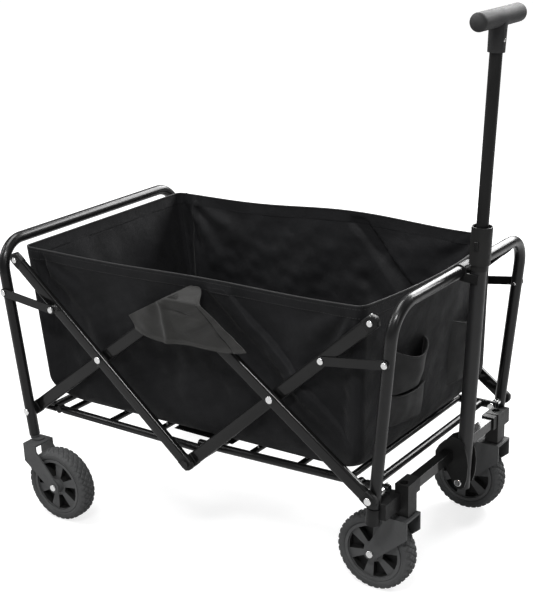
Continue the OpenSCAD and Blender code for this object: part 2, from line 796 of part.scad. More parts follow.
// clip on the front top bar that holds the handle upright
module handle_clip() {
  reach = handle_dx + (hoop_height - handle_z) * tan(handle_lean);
  hx = pivot_half + reach - frame_half - (frame_top - lean_ref_z) * tan(lean);
  color([0.03, 0.03, 0.03]) placed() translate([frame_half, 0, lean_ref_z]) rotate([0, lean, 0])
    translate([0, 0, frame_top - lean_ref_z]) difference() {
      union() {
        ycyl(tr + 2.6, -18.5, 18.5);
        both_sides() translate([0, lower_d / 2 + 1.2, -16]) cube([hx + 8, 3, 16]);
      }
      ycyl(tr + 0.05, -30, 30);
      translate([8, -lower_d / 2 - 1.2, -30]) cube([60, lower_d + 2.4, 60]);
    }
}

// ---- basket ----

// leaning end wall with a thicker hem
module end_wall() {
  h0 = on_leg(wall_z);
  h1 = on_leg(hem_z);
  translate([wall_in - cloth_t, -(basket_y - cloth_t - 0.5), h0])
    cube([cloth_t, 2 * (basket_y - cloth_t - 0.5), h1 - h0]);
  translate([wall_in - cloth_t - 1.5, -(basket_y - cloth_t - 0.5), h1 - 26])
    cube([cloth_t + 1.5, 2 * (basket_y - cloth_t - 0.5), 26]);
}

module basket_rear_wall() {
  color([0.03, 0.03, 0.035]) placed() rear_lean() end_wall();
}

module basket_front_wall() {
  color([0.03, 0.03, 0.035]) placed() front_lean() end_wall();
}

// side wall with a thicker hem
module side_wall() {
  b = wall_bot_x;
  t = wall_top_x;
  translate([0, basket_y, 0]) rotate([90, 0, 0]) {
    linear_extrude(height = cloth_t) polygon([[-b, wall_z], [b, wall_z], [t, hem_z], [-t, hem_z]]);
    translate([0, 0, -1]) linear_extrude(height = cloth_t + 1)
      polygon([[-t + 2.5, hem_z - 24], [t - 2.5, hem_z - 24], [t, hem_z], [-t, hem_z]]);
  }
}

module basket_side_left() {
  color([0.03, 0.03, 0.035]) placed() side_wall();
}

module basket_side_right() {
  color([0.03, 0.03, 0.035]) placed() mirror([0, 1, 0]) side_wall();
}

// cloth flap that hangs from the hem over the top pivot
module flap() {
  yo = bar_out + 7;
  difference() {
    translate([-135, 0, 0]) rotate([90, 0, 90]) linear_extrude(height = 270) polygon([
      [basket_y + 1.3, hem_z - 15], [basket_y + 1.3, hem_z - 11], [yo, hem_z - 15],
      [yo + 3, hem_z - 20], [yo + 3, hem_z - 100], [yo, hem_z - 100], [yo, hem_z - 21],
      [yo - 2, hem_z - 18.5]
    ]);
    for (m = [0, 1]) mirror([m, 0, 0]) translate([62, 200, hem_z + 5]) rotate([0, 56, 0])
      cube([200, 120, 60]);
  }
}

module handle_flap_left() {
  color([0.08, 0.08, 0.08]) placed() flap();
}

module handle_flap_right() {
  color([0.08, 0.08, 0.08]) placed() mirror([0, 1, 0]) flap();
}

// open pocket standing off the front wall; x points inwards from the frame plane
module pocket(y0, y1, h0, h1, deep) {
  x1 = wall_in - cloth_t - 0.05;
  difference() {
    translate([x1 - deep, y0, h0]) cube([deep, y1 - y0, h1 - h0]);
    translate([x1 - deep + 2, y0 + 2, h0 + 2]) cube([deep - 4, y1 - y0 - 4, h1 - h0]);
  }
}

// round cup holder pocket on the right half of the front wall
module cup_pocket() {
  color([0.05, 0.05, 0.05]) placed() front_lean()
    pocket(71 - basket_y, -40, frame_top - 189, frame_top - 108, 34);
}

// long pocket across the lower front wall, and the side pocket
module mesh_pocket() {
  color([0.05, 0.05, 0.05]) placed() front_lean() {
    pocket(56 - basket_y, -20, frame_top - 265, frame_top - 197, 30);
    pocket(60, basket_y - 56, frame_top - 263, frame_top - 117, 34);
  }
}

// ---- handle ----

module handle_tube() {
  color([0.03, 0.03, 0.03]) placed() handle_axis() difference() {
    translate([0, 0, -16]) cylinder(r = lower_d / 2, h = lower_len + 16, $fn = fn);
    translate([0, 0, -17]) cylinder(r = lower_d / 2 - tube_wall, h = lower_len + 30, $fn = fn);
    ycyl(pin_r + run_fit, -30, 30);
  }
}

// moulded collar that guides the upper tube
module handle_collar() {
  color([0.03, 0.03, 0.03]) placed() handle_axis() difference() {
    union() {
      translate([0, 0, collar_z - 12]) cylinder(r = lower_d / 2 + 1.5, h = 14, $fn = fn);
      translate([0, 0, collar_z]) cylinder(r = collar_r, h = collar_len, $fn = fn);
    }
    translate([0, 0, collar_z - 20]) cylinder(r = lower_d / 2 + 0.02, h = 24.02, $fn = fn);
    translate([0, 0, collar_z]) cylinder(r = upper_d / 2 + run_fit, h = 100, $fn = fn);
    translate([0, 0, collar_z + collar_len - 8]) cylinder(r = collar_r - 2.5, h = 20, $fn = fn);
    translate([0, 0, button_z]) {
      translate([-4.1, -30, -8.1]) cube([8.2, 18, 16.2]);
    }
  }
}

// button that frees the upper tube when pressed inwards
module lock_button() {
  color([0.08, 0.08, 0.08]) placed() handle_axis() translate([0, 0, button_z])
    translate([-4, -21.5, -8]) cube([8, 6, 16]);
}

// upper tube with the swaged foot that slides inside the lower tube
module upper_tube() {
  color([0.03, 0.03, 0.03]) placed() handle_axis() difference() {
    union() {
      translate([0, 0, lower_len - 66])
        cylinder(r = upper_d / 2, h = grip_at - lower_len + 66 - 22, $fn = fn);
      translate([0, 0, lower_len - 66])
        cylinder(r = lower_d / 2 - tube_wall - run_fit, h = 26, $fn = fn);
    }
    translate([0, 0, lower_len - 67]) cylinder(r = upper_d / 2 - tube_wall, h = grip_at, $fn = fn);
  }
}

// tee grip with its socket
module grip() {
  g = grip_len / 2 - grip_d / 2;
  color([0.03, 0.03, 0.03]) placed() handle_axis() difference() {
    union() {
      translate([0, 0, grip_at]) {
        ycyl(grip_d / 2, -g, g);
        both_sides() translate([0, g, 0]) sphere(r = grip_d / 2, $fn = fn);
      }
      translate([0, 0, grip_at - 56]) cylinder(r = 13.5, h = 50, $fn = fn);
    }
    translate([0, 0, grip_at - 60]) cylinder(r = upper_d / 2 + 0.02, h = 38.02, $fn = fn);
    translate([11.2, 0, grip_at - 36]) rotate([0, 90, 0]) cylinder(r = 3.6, h = 10, $fn = fn);
  }
}

module grip_screw() {
  color([0.75, 0.75, 0.75]) placed() handle_axis() translate([11.25, 0, grip_at - 36])
    rotate([0, 90, 0]) cylinder(r = 3.55, h = 3.2, $fn = fn);
}

rear_hoop();
rear_fasteners();
rear_forks();
basket_rear_wall();
basket_side_left();
basket_side_right();
handle_flap_left();
handle_flap_right();
rear_rim_left();
rear_tyre_left();
rear_rim_right();
rear_tyre_right();
rear_lower_bars();
rear_lower_caps();
rear_lower_pins();
rear_upper_bars();
rear_upper_caps();
rear_upper_rivets();
centre_tube();
front_lower_bars();
front_lower_caps();
front_lower_pins();
front_upper_bars();
front_upper_caps();
front_upper_rivets();
rear_links();
rear_link_rivets();
front_links();
front_link_rivets();
floor_stubs_rear();
floor_stubs_front();
floor_rails_rear();
floor_slats_rear();
floor_mat_rear();
floor_rails_front();
floor_slats_front();
floor_mat_front();
front_hoop();
front_fasteners();
front_cross_tube();
caster_housings();
handle_bracket();
handle_clip();
basket_front_wall();
cup_pocket();
mesh_pocket();
front_fork_left();
front_axle_left();
front_fork_right();
front_axle_right();
front_rim_left();
front_tyre_left();
front_rim_right();
front_tyre_right();
handle_tube();
handle_collar();
upper_tube();
grip();
grip_screw();
lock_button();
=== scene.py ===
"""Looks of a folding camp wagon: painted tube frames, oval side bars, moulded wheels and a
sewn cloth basket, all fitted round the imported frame."""
import bpy
import bmesh
import json
import math
import numpy as np
from mathutils import Matrix, Vector

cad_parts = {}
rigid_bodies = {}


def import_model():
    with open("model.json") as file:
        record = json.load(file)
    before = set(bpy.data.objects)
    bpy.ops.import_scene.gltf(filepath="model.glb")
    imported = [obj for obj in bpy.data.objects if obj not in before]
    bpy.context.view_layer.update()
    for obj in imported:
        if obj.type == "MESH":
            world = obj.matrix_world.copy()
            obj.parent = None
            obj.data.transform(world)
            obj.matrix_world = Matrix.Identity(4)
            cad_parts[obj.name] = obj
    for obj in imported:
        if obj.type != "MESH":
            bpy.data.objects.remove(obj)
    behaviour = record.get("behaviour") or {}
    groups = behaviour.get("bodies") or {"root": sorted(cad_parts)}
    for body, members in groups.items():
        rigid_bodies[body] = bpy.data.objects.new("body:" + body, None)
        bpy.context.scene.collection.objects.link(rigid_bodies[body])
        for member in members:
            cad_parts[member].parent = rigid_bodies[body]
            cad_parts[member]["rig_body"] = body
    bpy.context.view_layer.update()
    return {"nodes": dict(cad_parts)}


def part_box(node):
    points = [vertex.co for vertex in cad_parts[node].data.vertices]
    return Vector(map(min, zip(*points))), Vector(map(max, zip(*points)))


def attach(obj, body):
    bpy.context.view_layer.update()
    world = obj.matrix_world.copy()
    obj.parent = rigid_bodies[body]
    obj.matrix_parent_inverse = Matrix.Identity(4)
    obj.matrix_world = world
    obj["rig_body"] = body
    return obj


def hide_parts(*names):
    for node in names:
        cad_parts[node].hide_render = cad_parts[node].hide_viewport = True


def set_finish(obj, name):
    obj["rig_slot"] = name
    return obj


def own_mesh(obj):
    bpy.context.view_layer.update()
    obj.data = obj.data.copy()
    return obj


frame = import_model()
nodes = frame["nodes"]
MM = 0.001
SIDES = ((-1, "right"), (1, "left"))


# ---------------------------------------------------------------- mesh helpers

def box(node):
    """Lowest and highest corner of a CAD node as two arrays."""
    lo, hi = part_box(node)
    return np.array(lo), np.array(hi)


def quads(n, m, wrap=False):
    """Faces of an n by m grid of points stored row by row; wrap joins the last column to the first."""
    i, j = np.meshgrid(np.arange(n - 1), np.arange(m if wrap else m - 1), indexing="ij")
    k = (j + 1) % m
    return np.stack([i * m + j, (i + 1) * m + j, (i + 1) * m + k, i * m + k], -1).reshape(-1, 4)


def piece(name, points, faces, material, slot, uv=None):
    """A smooth mesh object from points (n, 3), a list of faces and one uv in metres per point."""
    me = bpy.data.meshes.new(name)
    me.from_pydata(np.asarray(points, float).reshape(-1, 3).tolist(), [], [list(map(int, f)) for f in faces])
    if uv is not None:
        loops = np.zeros(len(me.loops), np.int32)
        me.loops.foreach_get("vertex_index", loops)
        layer = me.uv_layers.new(name="UVMap")
        layer.data.foreach_set("uv", np.asarray(uv, np.float32).reshape(-1, 2)[loops].ravel())
    me.polygons.foreach_set("use_smooth", np.ones(len(me.polygons), bool))
    me.materials.append(material)
    o = bpy.data.objects.new(name, me)
    bpy.context.scene.collection.objects.link(o)
    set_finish(o, slot)
    return o


def rows_of(items, name):
    """A property of three numbers, one row for each vertex or face of a mesh."""
    flat = np.zeros(len(items) * 3)
    items.foreach_get(name, flat)
    return flat.reshape(-1, 3)


def outward(o, merge=1e-6):
    """Merges doubled points and turns every face of a closed shell outwards."""
    bm = bmesh.new()
    bm.from_mesh(o.data)
    bmesh.ops.remove_doubles(bm, verts=bm.verts, dist=merge)
    bmesh.ops.recalc_face_normals(bm, faces=bm.faces)
    bm.to_mesh(o.data)
    bm.free()
    return o


def loft(name, rings, material, slot, uv=None):
    """A closed skin over rings (n, m, 3) of points, with a flat face on each end."""
    n, m = rings.shape[:2]
    faces = quads(n, m, True).tolist() + [list(range(m)), list(range((n - 1) * m, n * m))]
    return outward(piece(name, rings, faces, material, slot, uv))


def thick(o, t):
    """Gives a sheet its thickness, half to each side."""
    s = o.modifiers.new("thickness", "SOLIDIFY")
    s.thickness, s.offset = t, 0
    return o


def rounded(hw, ht, r, steps=5):
    """Outline of a rectangle of half sizes hw and ht with round corners: four quarter arcs in turn."""
    a = np.concatenate([np.linspace(q, q + math.pi / 2, steps) for q in np.arange(4) * math.pi / 2])
    cx = np.repeat([1, -1, -1, 1], steps) * (hw - r)
    cy = np.repeat([1, 1, -1, -1], steps) * (ht - r)
    return np.stack([cx + r * np.cos(a), cy + r * np.sin(a)], -1)


def smooth(t):
    """0 below 0, 1 above 1, and an even curve between."""
    t = np.clip(t, 0, 1)
    return t * t * (3 - 2 * t)


# ---------------------------------------------------------------- finishes

def links(tree, *pairs):
    """Joins an output to an input in each pair."""
    for a, b in pairs:
        tree.links.new(a, b)


def group(name, ins, outs, make):
    """A node group with named float or vector inputs and outputs; make draws its inside."""
    g = bpy.data.node_groups.new(name, "ShaderNodeTree")
    for label, kind, value in ins:
        s = g.interface.new_socket(label, in_out="INPUT", socket_type="NodeSocket" + kind)
        if kind == "Float":
            s.default_value = value
    for label, kind in outs:
        g.interface.new_socket(label, in_out="OUTPUT", socket_type="NodeSocket" + kind)
    a, b = g.nodes.new("NodeGroupInput"), g.nodes.new("NodeGroupOutput")
    make(g, a.outputs, b.inputs)
    return g


def sums(tree, op, a, b=None, c=None):
    """A Math node with its inputs linked or set, and its output."""
    n = tree.nodes.new("ShaderNodeMath")
    n.operation = op
    for socket, value in zip(n.inputs, (a, b, c)):
        if value is None:
            continue
        if isinstance(value, (int, float)):
            socket.default_value = value
        else:
            tree.links.new(value, socket)
    return n.outputs[0]


def weave_inside(g, i, o):
    """Plain weave: over and under follow the product of two sines across the threads. The second output is 1 on
    the thread crowns and 0 between the threads; where it darkens a colour it is painted shade between the
    threads.
    """
    s = g.nodes.new("ShaderNodeSeparateXYZ")
    links(g, (i["Vector"], s.inputs[0]))
    turn = sums(g, "MULTIPLY", i["Threads"], math.pi)
    su = sums(g, "SINE", sums(g, "MULTIPLY", s.outputs[0], turn))
    sv = sums(g, "SINE", sums(g, "MULTIPLY", s.outputs[1], turn))
    over = sums(g, "MULTIPLY", su, sv)
    links(g, (sums(g, "MULTIPLY_ADD", over, 0.5, 0.5), o["Height"]),
          (sums(g, "ABSOLUTE", over), o["Gap_Shade"]))


def cloud_inside(g, i, o):
    """Soft clouds: layered noise stretched between a low and a high value."""
    n = g.nodes.new("ShaderNodeTexNoise")
    n.inputs["Detail"].default_value = 4
    r = g.nodes.new("ShaderNodeMapRange")
    r.inputs[1].default_value, r.inputs[2].default_value = 0.3, 0.7
    links(g, (i["Vector"], n.inputs["Vector"]), (i["Scale"], n.inputs["Scale"]), (n.outputs[0], r.inputs[0]),
          (i["Low"], r.inputs[3]), (i["High"], r.inputs[4]), (r.outputs[0], o["Value"]))


def scuff_inside(g, i, o):
    """Rub marks: thin bright threads where a twisted noise passes its middle."""
    n = g.nodes.new("ShaderNodeTexNoise")
    n.inputs["Detail"].default_value, n.inputs["Distortion"].default_value = 6, 1.5
    links(g, (i["Vector"], n.inputs["Vector"]), (i["Scale"], n.inputs["Scale"]))
    d = sums(g, "ABSOLUTE", sums(g, "SUBTRACT", n.outputs[0], 0.5))
    links(g, (sums(g, "MULTIPLY", sums(g, "LESS_THAN", d, 0.008), i["Amount"]), o["Value"]))


NET_PITCH = 0.0032
WIRE_SHARE = 0.42
WEAVE = group("plain_weave", [("Vector", "Vector", 0), ("Threads", "Float", 1500)],
              [("Height", "Float"), ("Gap_Shade", "Float")], weave_inside)
CLOUD = group("soft_clouds", [("Vector", "Vector", 0), ("Scale", "Float", 5), ("Low", "Float", 0),
                              ("High", "Float", 1)], [("Value", "Float")], cloud_inside)
SCUFF = group("rub_marks", [("Vector", "Vector", 0), ("Scale", "Float", 30), ("Amount", "Float", 1)],
              [("Value", "Float")], scuff_inside)


def place(tree, g, vector, **values):
    """One use of a group with its own values."""
    n = tree.nodes.new("ShaderNodeGroup")
    n.node_tree = g
    links(tree, (vector, n.inputs["Vector"]))
    for k, v in values.items():
        n.inputs[k].default_value = v
    return n


def two_tone(tree, mask, dark, light):
    """Mixes two colours by a mask."""
    m = tree.nodes.new("ShaderNodeMix")
    m.data_type = "RGBA"
    m.inputs[6].default_value, m.inputs[7].default_value = (*dark, 1), (*light, 1)
    links(tree, (mask, m.inputs[0]))
    return m.outputs[2]


def blank(name, coords, **sockets):
    """A new material, its tree, its shader, and the coordinate output that it reads."""
    m = bpy.data.materials.new(name)
    m.use_nodes = True
    t = m.node_tree
    p = t.nodes["Principled BSDF"]
    for k, v in sockets.items():
        p.inputs[k.replace("_", " ")].default_value = v
    c = t.nodes.new("ShaderNodeTexCoord")
    return m, t, p, c.outputs[coords]


def bumped(tree, shader, height, strength, depth):
    """Joins a bump of a strength and a depth in metres to a shader's normal."""
    b = tree.nodes.new("ShaderNodeBump")
    b.inputs["Strength"].default_value, b.inputs["Distance"].default_value = strength, depth
    links(tree, (height, b.inputs["Height"]), (b.outputs[0], shader.inputs["Normal"]))


def hard(name, dark, light, rough, grain, depth, scuffs=0.0, **sockets):
    """Paint, plastic, rubber or metal: clouded colour and roughness, a grain bump and a few rub marks."""
    m, t, p, at = blank(name, "Object", **sockets)
    tone = place(t, CLOUD, at, Scale=14.0)
    colour = two_tone(t, tone.outputs[0], dark, light)
    marks = place(t, SCUFF, at, Scale=26.0, Amount=scuffs)
    gloss = place(t, CLOUD, at, Scale=45.0, Low=rough[0], High=rough[1])
    links(t, (colour, p.inputs["Base Color"]),
          (sums(t, "ADD", gloss.outputs[0], marks.outputs[0]), p.inputs["Roughness"]))
    bumped(t, p, place(t, CLOUD, at, Scale=grain).outputs[0], 0.6, depth)
    return m


def cloth(name, dark, light, threads=1500.0, see=None, crease=0.0006, **sockets):
    """Woven polyester: threads from the UV in metres, clouded colour with painted shade between the threads, and
    fine creases. A net is see-through wherever the sines of u + v and of u - v both stay away from zero, where
    its wires run."""
    m, t, p, at = blank(name, "UV", **sockets)
    w = place(t, WEAVE, at, Threads=threads)
    tone = place(t, CLOUD, at, Scale=9.0)
    worn = place(t, SCUFF, at, Scale=22.0, Amount=0.35)
    # colour: random clouds, the weave's painted shade between the threads, and rub marks
    mask = sums(t, "ADD", sums(t, "MULTIPLY", tone.outputs[0], 0.75), sums(t, "MULTIPLY", w.outputs[1], 0.25))
    links(t, (two_tone(t, sums(t, "ADD", mask, worn.outputs[0]), dark, light), p.inputs["Base Color"]))
    rough = place(t, CLOUD, at, Scale=30.0, Low=0.62, High=0.8)
    links(t, (rough.outputs[0], p.inputs["Roughness"]))
    wrinkle = place(t, CLOUD, at, Scale=24.0)
    height = sums(t, "ADD", sums(t, "MULTIPLY", w.outputs[0], 0.12), wrinkle.outputs[0])
    bumped(t, p, height, 0.7, crease)
    if see:
        s = t.nodes.new("ShaderNodeSeparateXYZ")
        links(t, (at, s.inputs[0]))
        across = [sums(t, op, s.outputs[0], s.outputs[1]) for op in ("ADD", "SUBTRACT")]
        wires = [sums(t, "ABSOLUTE", sums(t, "SINE", sums(t, "MULTIPLY", a, see))) for a in across]
        links(t, (sums(t, "LESS_THAN", sums(t, "MINIMUM", *wires), WIRE_SHARE), p.inputs["Alpha"]))
    return m


FRAME = hard("gloss_black_powder_coat", (0.005, 0.005, 0.0053), (0.009, 0.009, 0.0093), (0.26, 0.36), 700.0,
             0.00006, 0.12, Specular_IOR_Level=0.24, Coat_Weight=0.22, Coat_Roughness=0.14)
BAR = hard("black_oval_bar_paint", (0.0035, 0.0035, 0.0035), (0.006, 0.006, 0.006), (0.3, 0.4), 700.0,
           0.00005, 0.12, Specular_IOR_Level=0.1, Coat_Weight=0.5, Coat_IOR=1.5, Coat_Roughness=0.06)
# the next two paints are lit and shaded copies of one black tube paint: the lower handle tube's lighter black is
# painted highlight and the upper tube's darker black is painted shade
LIT_HANDLE_PAINT = hard("satin_black_handle_paint_lit", (0.012, 0.012, 0.0125), (0.019, 0.019, 0.0195), (0.34, 0.44), 500.0,
              0.00006, 0.1, Specular_IOR_Level=0.35)
SHADED_SLIDE_PAINT = hard("black_sliding_tube_paint_shaded", (0.006, 0.006, 0.006), (0.01, 0.01, 0.01), (0.36, 0.46), 600.0,
             0.00006, 0.08, Specular_IOR_Level=0.22)
FORK = hard("satin_grey_fork_paint", (0.04, 0.041, 0.042), (0.058, 0.059, 0.06), (0.42, 0.55), 900.0,
            0.0001, 0.15)
ZINC = hard("bright_zinc", (0.82, 0.82, 0.82), (0.93, 0.93, 0.92), (0.14, 0.26), 1200.0,
            0.00005, 0.15, Metallic=1.0)
MOULD = hard("moulded_black_plastic", (0.006, 0.006, 0.006), (0.011, 0.011, 0.011), (0.36, 0.48), 1800.0,
             0.00008, 0.1, Specular_IOR_Level=0.22)
COLLAR = hard("moulded_grey_black_plastic", (0.009, 0.009, 0.009), (0.016, 0.016, 0.0155), (0.4, 0.52), 1500.0,
              0.0001, Specular_IOR_Level=0.22)
GRIP = hard("textured_grip_plastic", (0.014, 0.014, 0.0145), (0.023, 0.023, 0.0235), (0.55, 0.68), 1300.0,
            0.0004, Specular_IOR_Level=0.3)
RIM = hard("satin_rim_plastic", (0.052, 0.053, 0.054), (0.07, 0.071, 0.072), (0.46, 0.6), 1100.0,
           0.00012, 0.1)
# near-black finish for the faces inside the rims' closed pockets: painted shade in the recesses
RIM_POCKET_SHADE = hard("painted_rim_pocket_shade", (0.004, 0.004, 0.004), (0.008, 0.008, 0.008), (0.5, 0.7), 900.0, 0.0001)
TYRE = hard("dull_tyre_rubber", (0.042, 0.043, 0.044), (0.066, 0.067, 0.068), (0.68, 0.86), 600.0, 0.0003)
BASKET = cloth("black_basket_cloth", (0.0035, 0.0036, 0.0042), (0.0095, 0.0096, 0.0108), crease=0.0014,
               Sheen_Weight=0.04, Sheen_Roughness=0.4, Specular_IOR_Level=0.2)
# lighter black for the hem cords and pocket bindings, standing for the thin light line along their top edges:
# painted highlight
CORD_HIGHLIGHT = cloth("black_cord_painted_highlight", (0.006, 0.006, 0.0064), (0.014, 0.014, 0.0145), threads=1000.0, Sheen_Weight=0.08,
            Sheen_Roughness=0.4, Specular_IOR_Level=0.35)
FLAP = cloth("olive_grey_flap_cloth", (0.010, 0.0098, 0.0093), (0.021, 0.0206, 0.0192), Sheen_Weight=0.08,
             Sheen_Roughness=0.5, Specular_IOR_Level=0.35)
POCKET = cloth("black_pocket_cloth", (0.0045, 0.0045, 0.0049), (0.0105, 0.0105, 0.0109), Sheen_Weight=0.06,
               Sheen_Roughness=0.4, Specular_IOR_Level=0.35)
NET = cloth("black_pocket_net", (0.016, 0.016, 0.016), (0.026, 0.026, 0.026), see=math.pi / NET_PITCH)
PAD = cloth("black_mat_cloth", (0.01, 0.01, 0.011), (0.018, 0.018, 0.0185), threads=900.0, Sheen_Weight=0.1)
THREAD = hard("stitch_thread", (0.011, 0.011, 0.011), (0.018, 0.018, 0.018), (0.5, 0.7), 900.0, 0.0001)


# ---------------------------------------------------------------- frame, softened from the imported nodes

def softened(node, width, material, slot, segments=2):
    """A merged copy of a node that stands for it, with each edge sharper than 32 degrees rounded over."""
    me = nodes[node].data.copy()
    if "custom_normal" in me.attributes:
        me.attributes.remove(me.attributes["custom_normal"])
    bm = bmesh.new()
    bm.from_mesh(me)
    bmesh.ops.remove_doubles(bm, verts=bm.verts, dist=2e-6)
    bmesh.ops.dissolve_limit(bm, angle_limit=math.radians(0.4), verts=bm.verts, edges=bm.edges)
    for f in bm.faces:
        f.smooth = True
    bm.to_mesh(me)
    bm.free()
    me.materials.clear()
    me.materials.append(material)
    o = bpy.data.objects.new(node + "_finished", me)
    bpy.context.scene.collection.objects.link(o)
    b = o.modifiers.new("round_over", "BEVEL")
    b.width, b.segments, b.limit_method, b.angle_limit = width, segments, "ANGLE", math.radians(32)
    b.harden_normals = True
    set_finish(o, slot)
    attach(o, nodes[node]["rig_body"])
    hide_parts(node)
    return o


def keep(material, *names):
    """CAD nodes whose shape is right keep it and take a finish."""
    for n in names:
        for s in nodes[n].material_slots:
            s.material = material


def frame_parts():
    """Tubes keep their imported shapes; flat, moulded and riveted parts are rounded over."""
    keep(FRAME, "rear_hoop", "front_hoop", "floor_stubs_rear", "floor_rails_rear", "floor_slats_rear",
         "floor_stubs_front", "floor_rails_front", "floor_slats_front", "centre_tube")
    # the two handle tubes take the lit and shaded copies of one paint
    keep(LIT_HANDLE_PAINT, "handle_tube")
    keep(SHADED_SLIDE_PAINT, "upper_tube")
    for n in ("rear_links", "front_links"):
        softened(n, 0.6 * MM, BAR, "frame_paint")
    softened("front_cross_tube", 2.2 * MM, BAR, "frame_paint", segments=3)
    softened("rear_forks", 1.0 * MM, FORK, "fork_paint")
    for side in ("left", "right"):
        softened("front_fork_" + side, 1.0 * MM, FORK, "fork_paint")
        softened("front_axle_" + side, 2.3 * MM, ZINC, "zinc", segments=4)
    softened("caster_housings", 1.6 * MM, MOULD, "black_plastic", segments=3)
    softened("handle_bracket", 0.9 * MM, MOULD, "black_plastic")
    softened("handle_clip", 0.9 * MM, MOULD, "black_plastic")
    softened("handle_collar", 1.3 * MM, COLLAR, "black_plastic", segments=3)
    softened("lock_button", 1.6 * MM, MOULD, "black_plastic", segments=3)
    fuller_grip(softened("grip", 1.5 * MM, GRIP, "grip_plastic", segments=3))
    for n in ("rear_fasteners", "rear_lower_pins", "rear_upper_rivets", "front_lower_pins",
              "front_upper_rivets", "rear_link_rivets", "front_link_rivets", "front_fasteners", "grip_screw"):
        softened(n, 2.3 * MM, ZINC, "zinc", segments=4)


GRIP_GROWTH = 1.17
SOCKET_HALF = 14.2 * MM
HANDLE_RUN = np.array([0.054079, 0.998537])


def fuller_grip(o):
    """Rounds the tee grip out: the bar's radius is multiplied by GRIP_GROWTH and its ends draw in, and the
    socket grows a tenth across the handle tube's direction and along y."""
    me = o.data
    co = rows_of(me.vertices, "co")
    ends = co[np.abs(co[:, 1]) > np.abs(co[:, 1]).max() - 4 * MM]
    axis = (ends.max(0) + ends.min(0)) / 2
    away = co[:, [0, 2]] - axis[[0, 2]]
    bar = (np.hypot(*away.T) < 14 * MM)[:, None]
    across = away - (away @ HANDLE_RUN)[:, None] * HANDLE_RUN
    co[:, [0, 2]] = np.where(bar, axis[[0, 2]] + away * GRIP_GROWTH, co[:, [0, 2]] + across * 0.1)
    ay = np.abs(co[:, 1])
    drawn_in = SOCKET_HALF * 1.1 + (ay - SOCKET_HALF) * 0.86
    co[:, 1] = np.sign(co[:, 1]) * np.where(ay < SOCKET_HALF, ay * 1.1, drawn_in)
    me.vertices.foreach_set("co", co.ravel())
    me.update()


def bar_line(node, side):
    """Axis of one straight bar from its vertices: ends, direction along it and the direction across it."""
    co = rows_of(nodes[node].data.vertices, "co")
    co = co[co[:, 1] * side > 0]
    flat = np.unique(np.round(co[:, [0, 2]], 5), axis=0)
    mid = (flat[:, None].max(0) + flat[:, None].min(0))[0] / 2
    _, _, v = np.linalg.svd(flat - mid)
    d = v[0] * np.sign(v[0, 1])
    n = np.array([-d[1], d[0]])
    s, w = (flat - mid) @ d, (flat - mid) @ n
    mid = mid + n * (w.max() + w.min()) / 2
    y = (co[:, 1].max() + co[:, 1].min()) / 2
    d3, n3 = np.array([d[0], 0, d[1]]), np.array([n[0], 0, n[1]])
    c3 = np.array([mid[0], y, mid[1]])
    half = (w.max() - w.min()) / 2, (co[:, 1].max() - co[:, 1].min()) / 2
    return c3, d3, n3, s.min(), s.max(), half


CAP_BACK, CAP_BEND, CAP_REACH = 25, 10, 13
CAP_WALL = 0.6 * MM
BAR_CORNER, CAP_CORNER = 4.2 * MM, 4.4 * MM


def oval_bars():
    """Each side bar is a rounded tube section carried along its straight line, and each end
    has a moulded cap whose height follows a half circle and whose cheeks thin towards the tip."""
    tip_run = -CAP_BEND + float(CAP_REACH) * np.sin(np.linspace(0.1, 1.53, 12))
    t = np.concatenate([np.linspace(-CAP_BACK, -CAP_BEND, 6), tip_run]) * MM
    past_bend = np.maximum(t + CAP_BEND * MM, 0) / (13.1 * MM)
    high = np.sqrt(np.maximum(1 - past_bend ** 2, 0.004))[:, None, None]
    thin = (1 - 0.3 * smooth((t + 4 * MM) / (8 * MM)) - 0.05 * (t < -24 * MM))[:, None, None]
    level = np.array([0, 1.0, 0])
    for pair in ("rear_lower", "rear_upper", "front_lower", "front_upper"):
        body = nodes[pair + "_bars"]["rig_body"]
        for side, label in SIDES:
            c, d, n, s0, s1, (hw, ht) = bar_line(pair + "_bars", side)
            out = rounded(hw, ht, BAR_CORNER, 6)[None]
            cap = rounded(hw + CAP_WALL, ht + CAP_WALL, CAP_CORNER, 6)[None]
            s = np.linspace(s0 + 2 * MM, s1 - 2 * MM, 30)
            rings = c + s[:, None, None] * d + out[..., :1] * n + out[..., 1:] * level
            bar = loft(f"{pair}_bar_{label}", rings, BAR, "frame_paint")
            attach(bar, body)
            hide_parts(pair + "_bars")
            for end, e, go in (("low", s0, -1), ("high", s1, 1)):
                rings = (c + (e + go * t)[:, None, None] * d + (cap[..., :1] * high) * n
                         + (cap[..., 1:] * thin) * level)
                tip = loft(f"{pair}_cap_{end}_{label}", rings, MOULD, "black_plastic")
                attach(tip, body)
                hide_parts(pair + "_caps")


SHOULDER = np.array([[58.05, -17], [61, -18.6], [64, -20], [65.2, -19.3], [66.4, -20], [69, -19.4], [71.6, -18],
                     [73.4, -16.4], [74.6, -14.2]]) * MM
CROWN_HALF = 12.6 * MM
GROOVE_DEPTH = 2.0 * MM
BLOCKS = 34
SPOKE_FACE, HUB_REACH, POCKET_REACH = 13.9 * MM, 17 * MM, 53.5 * MM
ROUND_STEPS = 408


